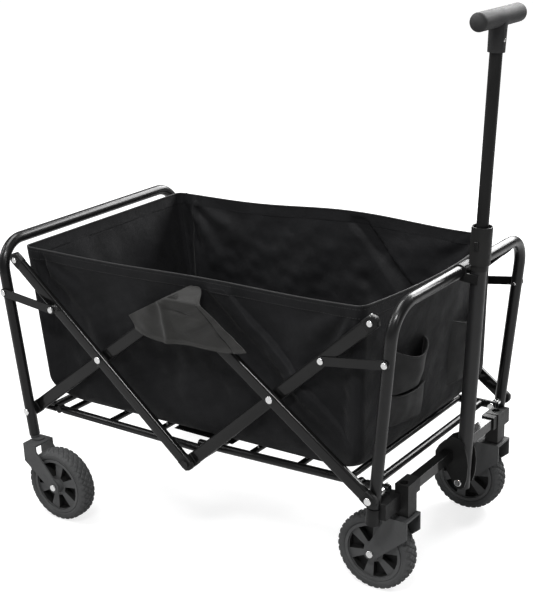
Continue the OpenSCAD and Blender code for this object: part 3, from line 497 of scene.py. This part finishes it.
def tyre(node):
    """A closed shoulder and crown profile turned about the axle; the tread sinks GROOVE_DEPTH where either
    of two crossed families of slanted lines, BLOCKS of each around the wheel, is near."""
    lo, hi = box(node)
    c, R = (lo + hi) / 2, (hi[2] - lo[2]) / 2
    y = np.linspace(-12.6, 12.6, 22) * MM
    crown = np.stack([R - 0.2 * MM - 0.8 * MM * (np.abs(y) / CROWN_HALF) ** 4, y], -1)
    prof = np.concatenate([SHOULDER, crown, SHOULDER[::-1] * [1, -1]])
    n = ROUND_STEPS
    a = np.arange(n) * 2 * math.pi / n
    r, yy = prof[:, 0][:, None] * np.ones(n), prof[:, 1][:, None] * np.ones(n)
    u = a[None] * BLOCKS / (2 * math.pi)
    f = [np.abs(((u + g * yy / (15 * MM)) % 1) - 0.5) for g in (1, -1)]
    groove = 1 - smooth((np.minimum(*f) - 0.07) / 0.09)
    on_tread = smooth((r - (R - 8 * MM)) / (2 * MM))
    r = r - GROOVE_DEPTH * groove * on_tread
    p = np.stack([c[0] + r * np.cos(a), c[1] + yy, c[2] + r * np.sin(a)], -1)
    m = len(p)
    seam = [[(m - 1) * n + j, j, (j + 1) % n, (m - 1) * n + (j + 1) % n] for j in range(n)]
    o = outward(piece(node + "_treaded", p, quads(m, n, True).tolist() + seam, TYRE, "tyre"))
    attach(o, nodes[node]["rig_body"])
    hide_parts(node)
    return c


def wheels():
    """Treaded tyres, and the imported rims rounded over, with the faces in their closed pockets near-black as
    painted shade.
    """
    for where in ("rear", "front"):
        for side in ("left", "right"):
            c = tyre(f"{where}_tyre_{side}")
            rim = softened(f"{where}_rim_{side}", 0.9 * MM, RIM, "rim_plastic")
            rim.data.materials.append(RIM_POCKET_SHADE)
            # faces inside the closed pockets take the near-black painted shade
            deep = rows_of(rim.data.polygons, "center")
            far = np.hypot(deep[:, 0] - c[0], deep[:, 2] - c[2])
            inside = (np.abs(deep[:, 1] - c[1]) < SPOKE_FACE) & (far > HUB_REACH) & (far < POCKET_REACH)
            rim.data.polygons.foreach_set("material_index", inside.astype(np.int32))


# ---------------------------------------------------------------- cloth basket

side_lo, side_hi = box("basket_side_left")
X0 = (side_lo[0] + side_hi[0]) / 2
Z0, Z1 = side_lo[2], side_hi[2]
HALF_TOP = (side_hi[0] - side_lo[0]) / 2
LEAN = math.tan(math.radians(6))
WIDE = side_hi[1]
ROUND = 62 * MM
CORNER_PULL = 25 * MM


def folds_up(o):
    """The piece rides the rear frame."""
    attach(o, "rear_frame")
    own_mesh(o)
    return o


def outer_half(z):
    """Half length of the basket at a height: it grows by the lean of the frames."""
    return HALF_TOP - (Z1 - z) * LEAN


def waves(x, z, seed, count=9, low=0.05, high=0.13):
    """Crumples: 1.8 times the mean of plane sine waves with seeded directions, lengths and phases."""
    r = np.random.default_rng(seed)
    out = 0
    for _ in range(count):
        a, l, ph = r.uniform(0, math.pi), r.uniform(low, high), r.uniform(0, 6.28)
        out = out + np.sin((x * math.cos(a) + z * math.sin(a)) * 6.2832 / l + ph)
    return out / count * 1.8


def wall_rows(nb=15, nw=106):
    """Heights and insets up a wall: a quarter round of radius ROUND off the floor, then straight up."""
    phi = np.linspace(math.pi / 2, 0, nb)[:-1]
    z = np.concatenate([Z0 + ROUND * (1 - np.sin(phi)), np.linspace(Z0 + ROUND, Z1, nw)])
    d = np.concatenate([ROUND * (1 - np.cos(phi)), np.zeros(nw)])
    return z, d


CORNER_STEPS = 7
OVERLAP = math.radians(4)


def section(half_along, half_out, r, n):
    """One side of a rounded rectangle in each row: half a corner arc and a little more, so that two walls
    meet at the corner, a straight run, and half an arc."""
    a = np.linspace(math.pi / 4 - OVERLAP, math.pi / 2, CORNER_STEPS)[:-1]
    la, ha = half_along[:, None], half_out[:, None]
    r = r[:, None]
    right_s, right_o = la - r + r * np.cos(a), ha - r + r * np.sin(a)
    mid_s = (la - r) * np.linspace(1, -1, n)
    mid_o = ha + 0 * mid_s
    s = np.concatenate([right_s, mid_s, -right_s[:, ::-1]], 1)
    return s, np.concatenate([right_o, mid_o, right_o[:, ::-1]], 1)


def height_share(z):
    """0 at the foot of the walls and 1 at their hems."""
    return np.clip((z - Z0) / (Z1 - Z0), 0, 1)


def settle(x, y, z, far):
    """Sets the basket's rim: the front corners pull back from the frame by up to CORNER_PULL, and the
    far hem stands up to 16 mm higher in its middle, both growing with height."""
    t = height_share(z)
    u = x - X0
    back = CORNER_PULL * t * smooth((u - 0.2) / 0.2) * np.minimum(np.abs(y) / WIDE, 1) ** 2
    rise = (5 + far * 11 * np.exp(-((u - 0.07) / 0.2) ** 2)) * MM * t ** 3
    rise = rise + 1.5 * MM * t ** 3 * np.sin(u * 14 + 1)
    return x - back, y, z + rise


PLEAT_START = (0.086, 0.550)
PLEAT_SLOPE = -0.938


def side_relief(u, z, seed):
    """How far a side wall stands out of its plane, in metres: sag, a diagonal pleat whose upper edge is
    a sharp step and whose lower edge runs out over 42 mm, a softer second pleat under it, a vertical tuck
    near the rear corner, tension folds from the hem corners and seeded crumples."""
    t = height_share(z)
    body = np.sin(math.pi * t)
    end = smooth((outer_half(z) - np.abs(u)) / 0.05)
    sag = -13 * MM * body * end
    s = (PLEAT_SLOPE * (u - PLEAT_START[0]) + PLEAT_START[1] - z) / math.hypot(1, PLEAT_SLOPE)
    run = smooth((0.43 - u) / 0.25) * 0.75 + 0.25
    pleat = 12 * MM * np.where(s > 0, 1 - smooth((s - 0.016) / 0.026), 0) * smooth((s + 0.001) / 0.005)
    second = 4.5 * MM * (1 - smooth(np.abs(s - 0.085) / 0.03)) * smooth((0.5 - z) / 0.12)
    pleat = (pleat * run + second) * smooth((Z1 - 0.004 - z) / 0.02) * smooth((z - Z0 - 0.03) / 0.1)
    tuck = -7 * MM * np.exp(-((u + 0.352) / 0.006) ** 2)
    tuck = tuck * smooth((z - 0.33) / 0.06) * smooth((Z1 - z) / 0.03)
    pull = 0
    for cx in (-1, 1):
        dx, dz = (cx * 0.39 - u) * cx, 0.56 - z
        rad, ang = np.hypot(dx, dz), np.arctan2(dz, dx)
        pull = pull + 4.0 * MM * np.exp(-((rad - 0.1) / 0.09) ** 2) * np.sin(ang * 13 + cx)
    drape = 3.6 * MM * body * (np.sin(u * 27 + 0.8 + 5 * (0.5 - t)) + 0.6 * np.sin(u * 51 + 2))
    fine = 2.2 * MM * waves(u, z, seed) * (0.25 + 0.75 * body)
    fine = fine + 1.3 * MM * waves(u, z, seed + 1, 8, 0.025, 0.05) * body
    soft = smooth((Z1 - z) / 0.05)
    return np.minimum((sag + (pleat + tuck) + (pull + drape + fine) * soft) * end, 3.0 * MM)


def end_relief(y, z, seed):
    """How far an end wall stands out of its plane: sag, upright drape folds and seeded crumples."""
    t = height_share(z)
    body = np.sin(math.pi * t)
    end = smooth((WIDE - np.abs(y)) / 0.05)
    drape = 2.2 * MM * body * (np.sin(y * 31 + 0.4) + 0.5 * np.sin(y * 63 + 1.7 + 3 * t))
    fine = 1.8 * MM * waves(y, z, seed) * (0.3 + 0.7 * body)
    return (-5 * MM * body + (drape + fine) * smooth((Z1 - z) / 0.05)) * end


def run_length(p, axis):
    """Distance along a grid of points from its first row or column."""
    step = np.linalg.norm(np.diff(p, axis=axis), axis=-1)
    return np.concatenate([np.zeros_like(np.take(step, [0], axis)), np.cumsum(step, axis)], axis)


def wall(kind, sign, n, seed):
    """The grid of points of one basket wall: rows of one side of a rounded rectangle, inset round the
    bottom edge, moved out by its relief, which fades away over the round."""
    z, d = wall_rows()
    r = 15 * MM + 0.75 * d
    a, b = outer_half(z) - d, WIDE - d + 0 * z
    along, out = (a, b) if kind == "side" else (b, a)
    s, o = section(along, out, r, n)
    zz = z[:, None] + 0 * s
    relief = side_relief if kind == "side" else end_relief
    o = o + relief(s, zz, seed) * smooth(1 - d / (0.6 * ROUND))[:, None]
    if kind == "side":
        return np.stack(settle(X0 + s, sign * o, zz, float(sign > 0)), -1)
    return np.stack(settle(X0 + sign * o, s, zz, smooth(s / WIDE)), -1)


def outline_normal(top):
    """Outward level direction at each point of a hem line, at right angles to it."""
    t = np.gradient(top, axis=0)
    n = np.stack([t[:, 1], -t[:, 0], 0 * t[:, 0]], -1)
    n /= np.linalg.norm(n, axis=1)[:, None]
    centre = np.array([X0, 0, 0])
    return n * np.sign(((top - centre) * n).sum(1))[:, None]


HEM_DOWN = np.array([-1.6, -1.0, 0.6, 2.6, 5, 10, 16, 21, 23.6, 24.2, 23.6, 21, 16, 10, 5, 2.6, 0.6, -1.0]) * MM
HEM_OUT = np.array([0, 0.8, 1.2, 1.2, 1.15, 1.1, 1.0, 0.85, 0.7, 0, -0.55, -0.6, -0.6, -0.6, -0.6, -0.6, -0.7,
                    -0.6]) * MM
STITCH_ROWS = (4.6 * MM, 20.5 * MM)
STITCH_PITCH = 5.5 * MM
SPINDLE = ((-1.9, 0.35), (-1.0, 1.0), (1.0, 1.0), (1.9, 0.35))


def hem(name, grid, carry):
    """Hem: a flat folded section, 24 mm deep, carried along the wall's top row, with a cord along its edge in a
    lighter black as painted highlight, and two rows of stitches."""
    top, below = grid[-1], grid[-9]
    n = outline_normal(top)
    down = (below - top) / np.linalg.norm(below - top, axis=1)[:, None]
    rings = top[:, None] + HEM_DOWN[None, :, None] * down[:, None] + HEM_OUT[None, :, None] * n[:, None]
    along = run_length(top, 0)[:, None]
    around = np.cumsum(np.abs(np.diff(HEM_DOWN, append=HEM_DOWN[0])))
    uv = np.stack([along + 0 * HEM_DOWN, 0 * along + around], -1)
    o = carry(loft(name, rings, BASKET, "basket_cloth", uv))
    cord = carry(loft(name + "_cord", tube_rings(top - down * 1.2 * MM, 1.7 * MM), CORD_HIGHLIGHT, "basket_cloth",
                      tube_uv(top)))
    rows = [stitches(f"{name}_stitches_{k}", top + down * h + n * 1.0 * MM, down, n, carry)
            for k, h in enumerate(STITCH_ROWS)]
    return [o, cord] + rows


def stitches(name, line, down, n, carry):
    """Lock stitches: at even steps along a line, one six-sided spindle half sunk in the cloth."""
    s = run_length(line, 0)
    at = np.arange(STITCH_PITCH, s[-1] - STITCH_PITCH, STITCH_PITCH)

    def take(a):
        """Values of a row of points at the stitches' own steps."""
        return np.stack([np.interp(at, s, a[:, k]) for k in range(3)], -1)[:, None]

    c, out, dn, t = take(line), take(n), take(down), take(np.gradient(line, axis=0))
    t /= np.linalg.norm(t, axis=2)[..., None]
    ang = np.arange(6) * math.pi / 3
    ring = np.stack([np.cos(ang), np.sin(ang)], -1)[None] * 0.42 * MM
    p = np.stack([c + t * u * MM + out * ring[..., :1] * q + dn * ring[..., 1:] * q for u, q in SPINDLE], 1)
    k, each = len(at), 6 * len(SPINDLE)
    faces = (quads(len(SPINDLE), 6, True)[None] + np.arange(k)[:, None, None] * each).reshape(-1, 4).tolist()
    caps = [[b * each + first + j for j in range(6)] for first in (0, each - 6) for b in range(k)]
    return carry(outward(piece(name, p, faces + caps, THREAD, "basket_cloth"), 1e-7))


def cut_cloth(name, p, material, slot, thickness, carry, node):
    """A grid of points as one sheet of cloth: its UV is the run lengths from its first row and column."""
    uv = np.stack([run_length(p, 1), run_length(p, 0)], -1)
    o = piece(name, p, quads(*p.shape[:2]), material, slot, uv)
    outward(o)
    thick(o, thickness)
    carry(o)
    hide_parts(node)
    return o


def cloth_sheet(p, extra=()):
    """Measures a grid piece's mean width and height from its run lengths; nothing is done with them."""
    w, h = run_length(p, 1)[:, -1].mean(), run_length(p, 0)[-1].mean()


def flattens(body):
    """The piece rides an end frame."""
    def carry(o):
        """Fits one piece to the frame in this way."""
        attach(o, body)
        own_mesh(o)
        return o
    return carry


def basket():
    """Four walls, each one sheet with its hem, cord and stitches."""
    walls = (("side_left", "side", 1, 226, "basket_side_left", folds_up, 21, "rear_upper_bars"),
             ("side_right", "side", -1, 226, "basket_side_right", folds_up, 35, "rear_upper_bars"),
             ("rear", "end", -1, 128, "basket_rear_wall", flattens("rear_frame"), 51, "rear_hoop"),
             ("front", "end", 1, 128, "basket_front_wall", flattens("front_frame"), 64, "front_hoop"))
    for label, kind, sign, n, node, carry, seed, holder in walls:
        p = wall(kind, sign, n, seed)
        o = cut_cloth("basket_" + label + "_cloth", p, BASKET, "basket_cloth", 1.1 * MM, carry, node)
        cloth_sheet(p, hem("basket_" + label + "_hem", p, carry))


FLAP_PEAK_Z = 0.543
FLAP_STAND = 39 * MM
FLAP_PIVOT_Z = 0.515


def flap(side, label):
    """Flap: a fan from a narrow peak at the hem to a wide lower edge, standing off the bars; a soft
    upright crease, a level wrinkle and a turned strip along its slanted edge shape it. It stands clear
    of the rivet at the bars' upper pivot."""
    s, t = np.meshgrid(np.linspace(0, 1, 120), np.linspace(0, 1, 80))
    lx = np.interp(t, [0, .8, 1], [.016, -.111, -.094])
    lz = np.interp(t, [0, .8, 1], [FLAP_PEAK_Z, .474, .452])
    rx = .034 + .131 * t ** 0.92
    rz = FLAP_PEAK_Z - .087 * t
    x, z = lx + (rx - lx) * s, lz + (rz - lz) * s
    z = z - 4 * s * (1 - s) * 0.012 * t ** 2 - 0.003 * np.sin(s * 9) * t ** 3
    off = 2 * MM + FLAP_STAND * smooth(t / 0.24)
    calm = smooth((t - 0.1) / 0.25)
    crease = 6 * MM * calm * np.exp(-((x + 0.024 - (0.52 - z) * 0.2) / 0.009) ** 2) * smooth((t - 0.12) / 0.2)
    left = -9 * MM * smooth((-0.05 - x) / 0.06) * smooth(t / 0.5)
    wrinkle = -3.5 * MM * calm * np.exp(-((z - 0.503 + 0.12 * (x - 0.01)) / 0.0035) ** 2)
    wrinkle = wrinkle * np.exp(-((x - 0.016) / 0.03) ** 2)
    strip = 2.2 * MM * smooth((s - 0.885) / 0.012) - 3.0 * MM * np.exp(-((s - 0.875) / 0.012) ** 2)
    fine = 1.5 * MM * waves(x, z, 5, 8, 0.03, 0.08) * smooth(t / 0.3)
    y = WIDE + np.maximum(off + crease + left + wrinkle + strip * calm + fine, 2.5 * MM)
    curl = 2.5 * MM * smooth((t - 0.94) / 0.06)
    clear = 38 * MM * (np.hypot(x, z - FLAP_PIVOT_Z) < 0.016)
    y = np.maximum(y, WIDE + clear)
    p = np.stack([X0 + x, side * (y + curl), z], -1)
    o = cut_cloth(f"handle_flap_{label}_cloth", p, FLAP, "flap_cloth", 1.4 * MM, folds_up, "handle_flap_" + label)
    w, h = run_length(p, 1)[-1, -1], run_length(p, 0)[-1].max()
    low = p[-1]
    edge = loft(f"handle_flap_{label}_edge", tube_rings(low, 1.5 * MM), FLAP, "flap_cloth", tube_uv(low))
    folds_up(edge)


def tube_rings(path, r, k=8):
    """Round section of radius r carried along a path."""
    t = np.gradient(path, axis=0)
    t /= np.linalg.norm(t, axis=1)[:, None]
    a = np.cross(t, [0, 0, 1.0])
    a /= np.maximum(np.linalg.norm(a, axis=1), 1e-9)[:, None]
    b = np.cross(a, t)
    ang = (np.arange(k) * 2 * math.pi / k)[None, :, None]
    return path[:, None] + r * (np.cos(ang) * a[:, None] + np.sin(ang) * b[:, None])


def tube_uv(path, k=8, around=0.012):
    """UV of a round cord: the run along it and the way around it, in metres."""
    s = run_length(path, 0)[:, None]
    return np.stack([s + np.zeros(k), 0 * s + np.arange(k) * around / k], -1)


POCKETS = (("cup", "cup_pocket", -.172, -.043, .352, .452, .032, .020, POCKET, 7, .012),
           ("long", "mesh_pocket", -.188, -.022, .290, .362, .014, .008, POCKET, 9, .020),
           ("net", "mesh_pocket", .062, .188, .292, .438, .026, .012, NET, 12, .006))


def pockets():
    """Pockets on the outside of the front wall. Each is a sheet that leaves the wall at its sides and
    foot and stands out by a half sine across, more at the mouth, where the lip sags. Each row of POCKETS
    has a label, a node, the sides, the foot and the mouth, how deep it stands and how far the lip dips,
    a finish, a seed and a slant."""
    carry = flattens("front_frame")
    for label, node, y0, y1, z0, z1, deep, dip, material, seed, slant in POCKETS:
        s, t = np.meshgrid(np.linspace(0, 1, 72), np.linspace(0, 1, 48))
        y = y0 + (y1 - y0) * s
        z = z0 + (z1 - z0) * t - dip * np.sin(math.pi * s) * t ** 2 + slant * (0.5 - s) * 1.2
        fill = np.sin(math.pi * s) ** 0.6 * (0.25 + 0.75 * np.sin(math.pi / 2 * np.clip(t * 1.5, 0, 1)))
        fill = fill * smooth(t / 0.12)
        stand = deep * fill + 1.6 * MM * waves(y, z, seed, 8, 0.03, 0.07) * fill
        up = height_share(z)
        x = X0 + outer_half(z) - 3.5 * MM + stand - 4 * MM * np.sin(math.pi * up)
        x = x - CORNER_PULL * up * np.minimum(np.abs(y) / WIDE, 1) ** 2
        p = np.stack([x, y, z], -1)
        o = cut_cloth(f"{label}_pocket_cloth", p, material, "pocket_cloth", 1.0 * MM, carry, node)
        # the binding takes the lighter black painted highlight of the cords
        lip = carry(loft(f"{label}_pocket_binding", tube_rings(p[-1], 2.0 * MM), CORD_HIGHLIGHT, "pocket_cloth",
                         tube_uv(p[-1])))
        cloth_sheet(p, [lip])


PILLOW_STEPS = (110, 90)
MAT_CROWN = 3.5 * MM


def pillow(x0, x1, y0, y1, z0, z1, tilt, channels):
    """A thin quilted board: an upper and a lower grid that meet at a rounded rim; the top crowns
    and sinks along the sewn channels, and the whole follows the floor's slope."""
    n, m = PILLOW_STEPS
    u, v = np.meshgrid(np.linspace(-1, 1, n), np.linspace(-1, 1, m), indexing="ij")
    rim = ((1 - np.abs(u) ** 14) * (1 - np.abs(v) ** 14)) ** 0.5
    quilt = np.ones_like(u)
    for c in channels:
        quilt = quilt * (1 - 0.55 * np.exp(-((u - c) / 0.02) ** 2))
    quilt = quilt * (1 - 0.55 * np.exp(-(v / 0.02) ** 2))
    x, y = x0 + (x1 - x0) * (u + 1) / 2, y0 + (y1 - y0) * (v + 1) / 2
    mid = (z0 + z1) / 2 + tilt * (x - (x0 + x1) / 2)
    thickness = (z1 - z0) / 2
    top = mid + rim * (thickness + MAT_CROWN * quilt)
    low = mid - rim * thickness
    p = np.concatenate([np.stack([x, y, top], -1), np.stack([x, y, low], -1)])
    q = quads(n, m)
    uv = np.concatenate([np.stack([x, y], -1)] * 2)
    return p.reshape(-1, 3), np.concatenate([q, q[:, ::-1] + n * m]), uv.reshape(-1, 2)


FLOOR_SLOPE = math.tan(math.radians(1))
MAT_INSET = 30 * MM
MAT_CHANNELS = (-.33, .33)


def mats():
    """The two padded mats of the floor, drawn in so that they stay inside the rounded foot of the walls. The
    rear one has a narrow tongue towards the hinge, as its packed board has."""
    half = WIDE - ROUND + 4 * MM
    for end, sign in (("rear", -1), ("front", 1)):
        node = "floor_mat_" + end
        lo, hi = box(node)
        tilt = FLOOR_SLOPE * sign
        if end == "rear":
            co = rows_of(nodes[node].data.vertices, "co")
            wide = co[np.abs(co[:, 1]) > hi[1] - 1 * MM, 0].max()
            slim = np.abs(co[co[:, 0] > wide + 5 * MM, 1]).max()

            def board(x0, x1, y, channels, left, right):
                """A 3 mm pillow at the height that the floor has half way from left to right."""
                mid = (lo[2] + hi[2]) / 2 + tilt * ((left + right) / 2 - (lo[0] + hi[0]) / 2)
                return pillow(x0, x1, -y, y, mid - 1.5 * MM, mid + 1.5 * MM, tilt, channels)

            parts = [board(lo[0] + MAT_INSET, wide, half, MAT_CHANNELS, lo[0], wide),
                     board(wide - 4 * MM, hi[0], slim, (0,), wide, hi[0])]
        else:
            drop = abs(hi[0] - lo[0]) * FLOOR_SLOPE
            parts = [pillow(lo[0], hi[0] - MAT_INSET, -half, half, lo[2] + drop / 2, hi[2] - drop / 2, tilt,
                            MAT_CHANNELS)]
        pts = np.concatenate([q[0] for q in parts])
        uv = np.concatenate([q[2] for q in parts])
        faces = np.concatenate([q[1] + sum(len(k[0]) for k in parts[:i]) for i, q in enumerate(parts)])
        o = outward(piece(node + "_quilted", pts, faces, PAD, "basket_cloth", uv), 2e-6)
        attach(o, nodes[node]["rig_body"])
        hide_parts(node)


# ---------------------------------------------------------------- studio

AZIMUTH, ELEVATION, ROLL = (math.radians(a) for a in (35.23, 21.1, -2.03))
DISTANCE = 2.6601
TARGET_Z = 0.300
FRAME_HEIGHT = 594
FOCAL = 1314.3 / FRAME_HEIGHT
SHIFT = (0.5 / FRAME_HEIGHT, 68.8 / FRAME_HEIGHT)


def camera():
    """A camera in front and to the right of the wagon. FOCAL is the focal length as a share of the frame's
    longer side, and SHIFT is in the same shares."""
    back = np.array([math.sin(AZIMUTH) * math.cos(ELEVATION), -math.cos(AZIMUTH) * math.cos(ELEVATION),
                     math.sin(ELEVATION)])
    right = np.cross([0, 0, 1.0], back)
    right /= np.linalg.norm(right)
    up = np.cross(back, right)
    c, s = math.cos(ROLL), math.sin(ROLL)
    xr, yr = c * right + s * up, c * up - s * right
    pos = np.array([X0, 0.0, TARGET_Z]) + back * DISTANCE
    cam = bpy.data.cameras.new("camera")
    cam.sensor_width, cam.lens = 36, FOCAL * 36
    cam.shift_x, cam.shift_y = SHIFT
    cam.clip_start, cam.clip_end = 0.1, 60
    o = bpy.data.objects.new("camera", cam)
    bpy.context.scene.collection.objects.link(o)
    o.matrix_world = Matrix([[xr[k], yr[k], back[k], pos[k]] for k in range(3)] + [[0, 0, 0, 1]])
    bpy.context.scene.camera = o


LIGHTS = (("top_light", (-0.6, -0.2, 2.7), (0, 0, 0.2), 56, 2.0, 1.2),
          ("back_light", (0.3, 2.8, 2.3), (0, 0, 0.4), 200, 3.2, 1.5),
          ("left_light", (-2.6, -1.4, 2.2), (0, 0, 0.3), 34, 1.0, 1.4),
          ("edge_light", (0.9, -1.9, 2.6), (0, 0, 0.4), 50, 0.8, 0.45),
          ("front_light", (2.8, -1.2, 1.9), (0.2, 0, 0.3), 8, 0.6, 1.4))


def softbox(name, place_at, look, power, wide, deep):
    """A rectangular light that faces a point; its size is in metres and its power in watts."""
    light = bpy.data.lights.new(name, "AREA")
    light.shape, light.size, light.size_y, light.energy = "RECTANGLE", wide, deep, power
    o = bpy.data.objects.new(name, light)
    o.location = place_at
    o.rotation_euler = (Vector(look) - Vector(place_at)).to_track_quat("-Z", "Y").to_euler()
    bpy.context.scene.collection.objects.link(o)


FLOOR_RADIUS = 14
FLOOR_RINGS, FLOOR_STEPS = 40, 64
BRIGHTENS_FROM, BRIGHTENS_TO = 0.75, 3.2
FLOOR_GLOW, FLOOR_GLOW_SEEN = 0.25, 0.75
SURROUND_LIGHT, SURROUND_SEEN = 0.12, 0.93


def studio():
    """Pale floor that brightens into the backdrop, a white surround and the soft lights. The floor and the
    surround glow more towards the camera than towards the wagon, so that black paint stays black."""
    r, a = np.meshgrid(np.linspace(0.0, 1, FLOOR_RINGS) ** 2 * FLOOR_RADIUS,
                       np.arange(FLOOR_STEPS) * 2 * math.pi / FLOOR_STEPS, indexing="ij")
    p = np.stack([r * np.cos(a), r * np.sin(a), 0 * r], -1)
    m, t, s, at = blank("pale_floor", "Object", Roughness=0.75, Specular_IOR_Level=0.2)
    d = t.nodes.new("ShaderNodeVectorMath")
    d.operation = "LENGTH"
    ramp = t.nodes.new("ShaderNodeMapRange")
    ramp.interpolation_type = "SMOOTHSTEP"
    ramp.inputs[1].default_value, ramp.inputs[2].default_value = BRIGHTENS_FROM, BRIGHTENS_TO
    glow = two_tone(t, ramp.outputs[0], (0.78, 0.78, 0.78), (1, 1, 1))
    ray = t.nodes.new("ShaderNodeLightPath")
    tone = place(t, CLOUD, at, Scale=0.8)
    links(t, (at, d.inputs[0]), (d.outputs["Value"], ramp.inputs[0]), (glow, s.inputs["Emission Color"]),
          (two_tone(t, tone.outputs[0], (0.36, 0.36, 0.362), (0.38, 0.38, 0.38)), s.inputs["Base Color"]),
          (sums(t, "MULTIPLY_ADD", ray.outputs["Is Camera Ray"], FLOOR_GLOW_SEEN, FLOOR_GLOW),
           s.inputs["Emission Strength"]))
    floor = piece("studio_floor", p, quads(FLOOR_RINGS, FLOOR_STEPS, True), m, "frame_paint")
    del floor["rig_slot"]
    outward(floor)
    if floor.data.polygons[len(floor.data.polygons) // 2].normal.z < 0:
        floor.data.flip_normals()
    for light in LIGHTS:
        softbox(*light)
    w = bpy.data.worlds.new("surround")
    bpy.context.scene.world = w
    w.use_nodes = True
    t = w.node_tree
    b = t.nodes["Background"]
    ray = t.nodes.new("ShaderNodeLightPath")
    b.inputs[0].default_value = (1, 1, 1, 1)
    links(t, (sums(t, "MULTIPLY_ADD", ray.outputs["Is Camera Ray"], SURROUND_SEEN, SURROUND_LIGHT), b.inputs[1]))
    bpy.context.scene.view_settings.view_transform = "Standard"


camera()
frame_parts()
oval_bars()
wheels()
basket()
for side, label in SIDES:
    flap(side, label)
pockets()
mats()
studio()
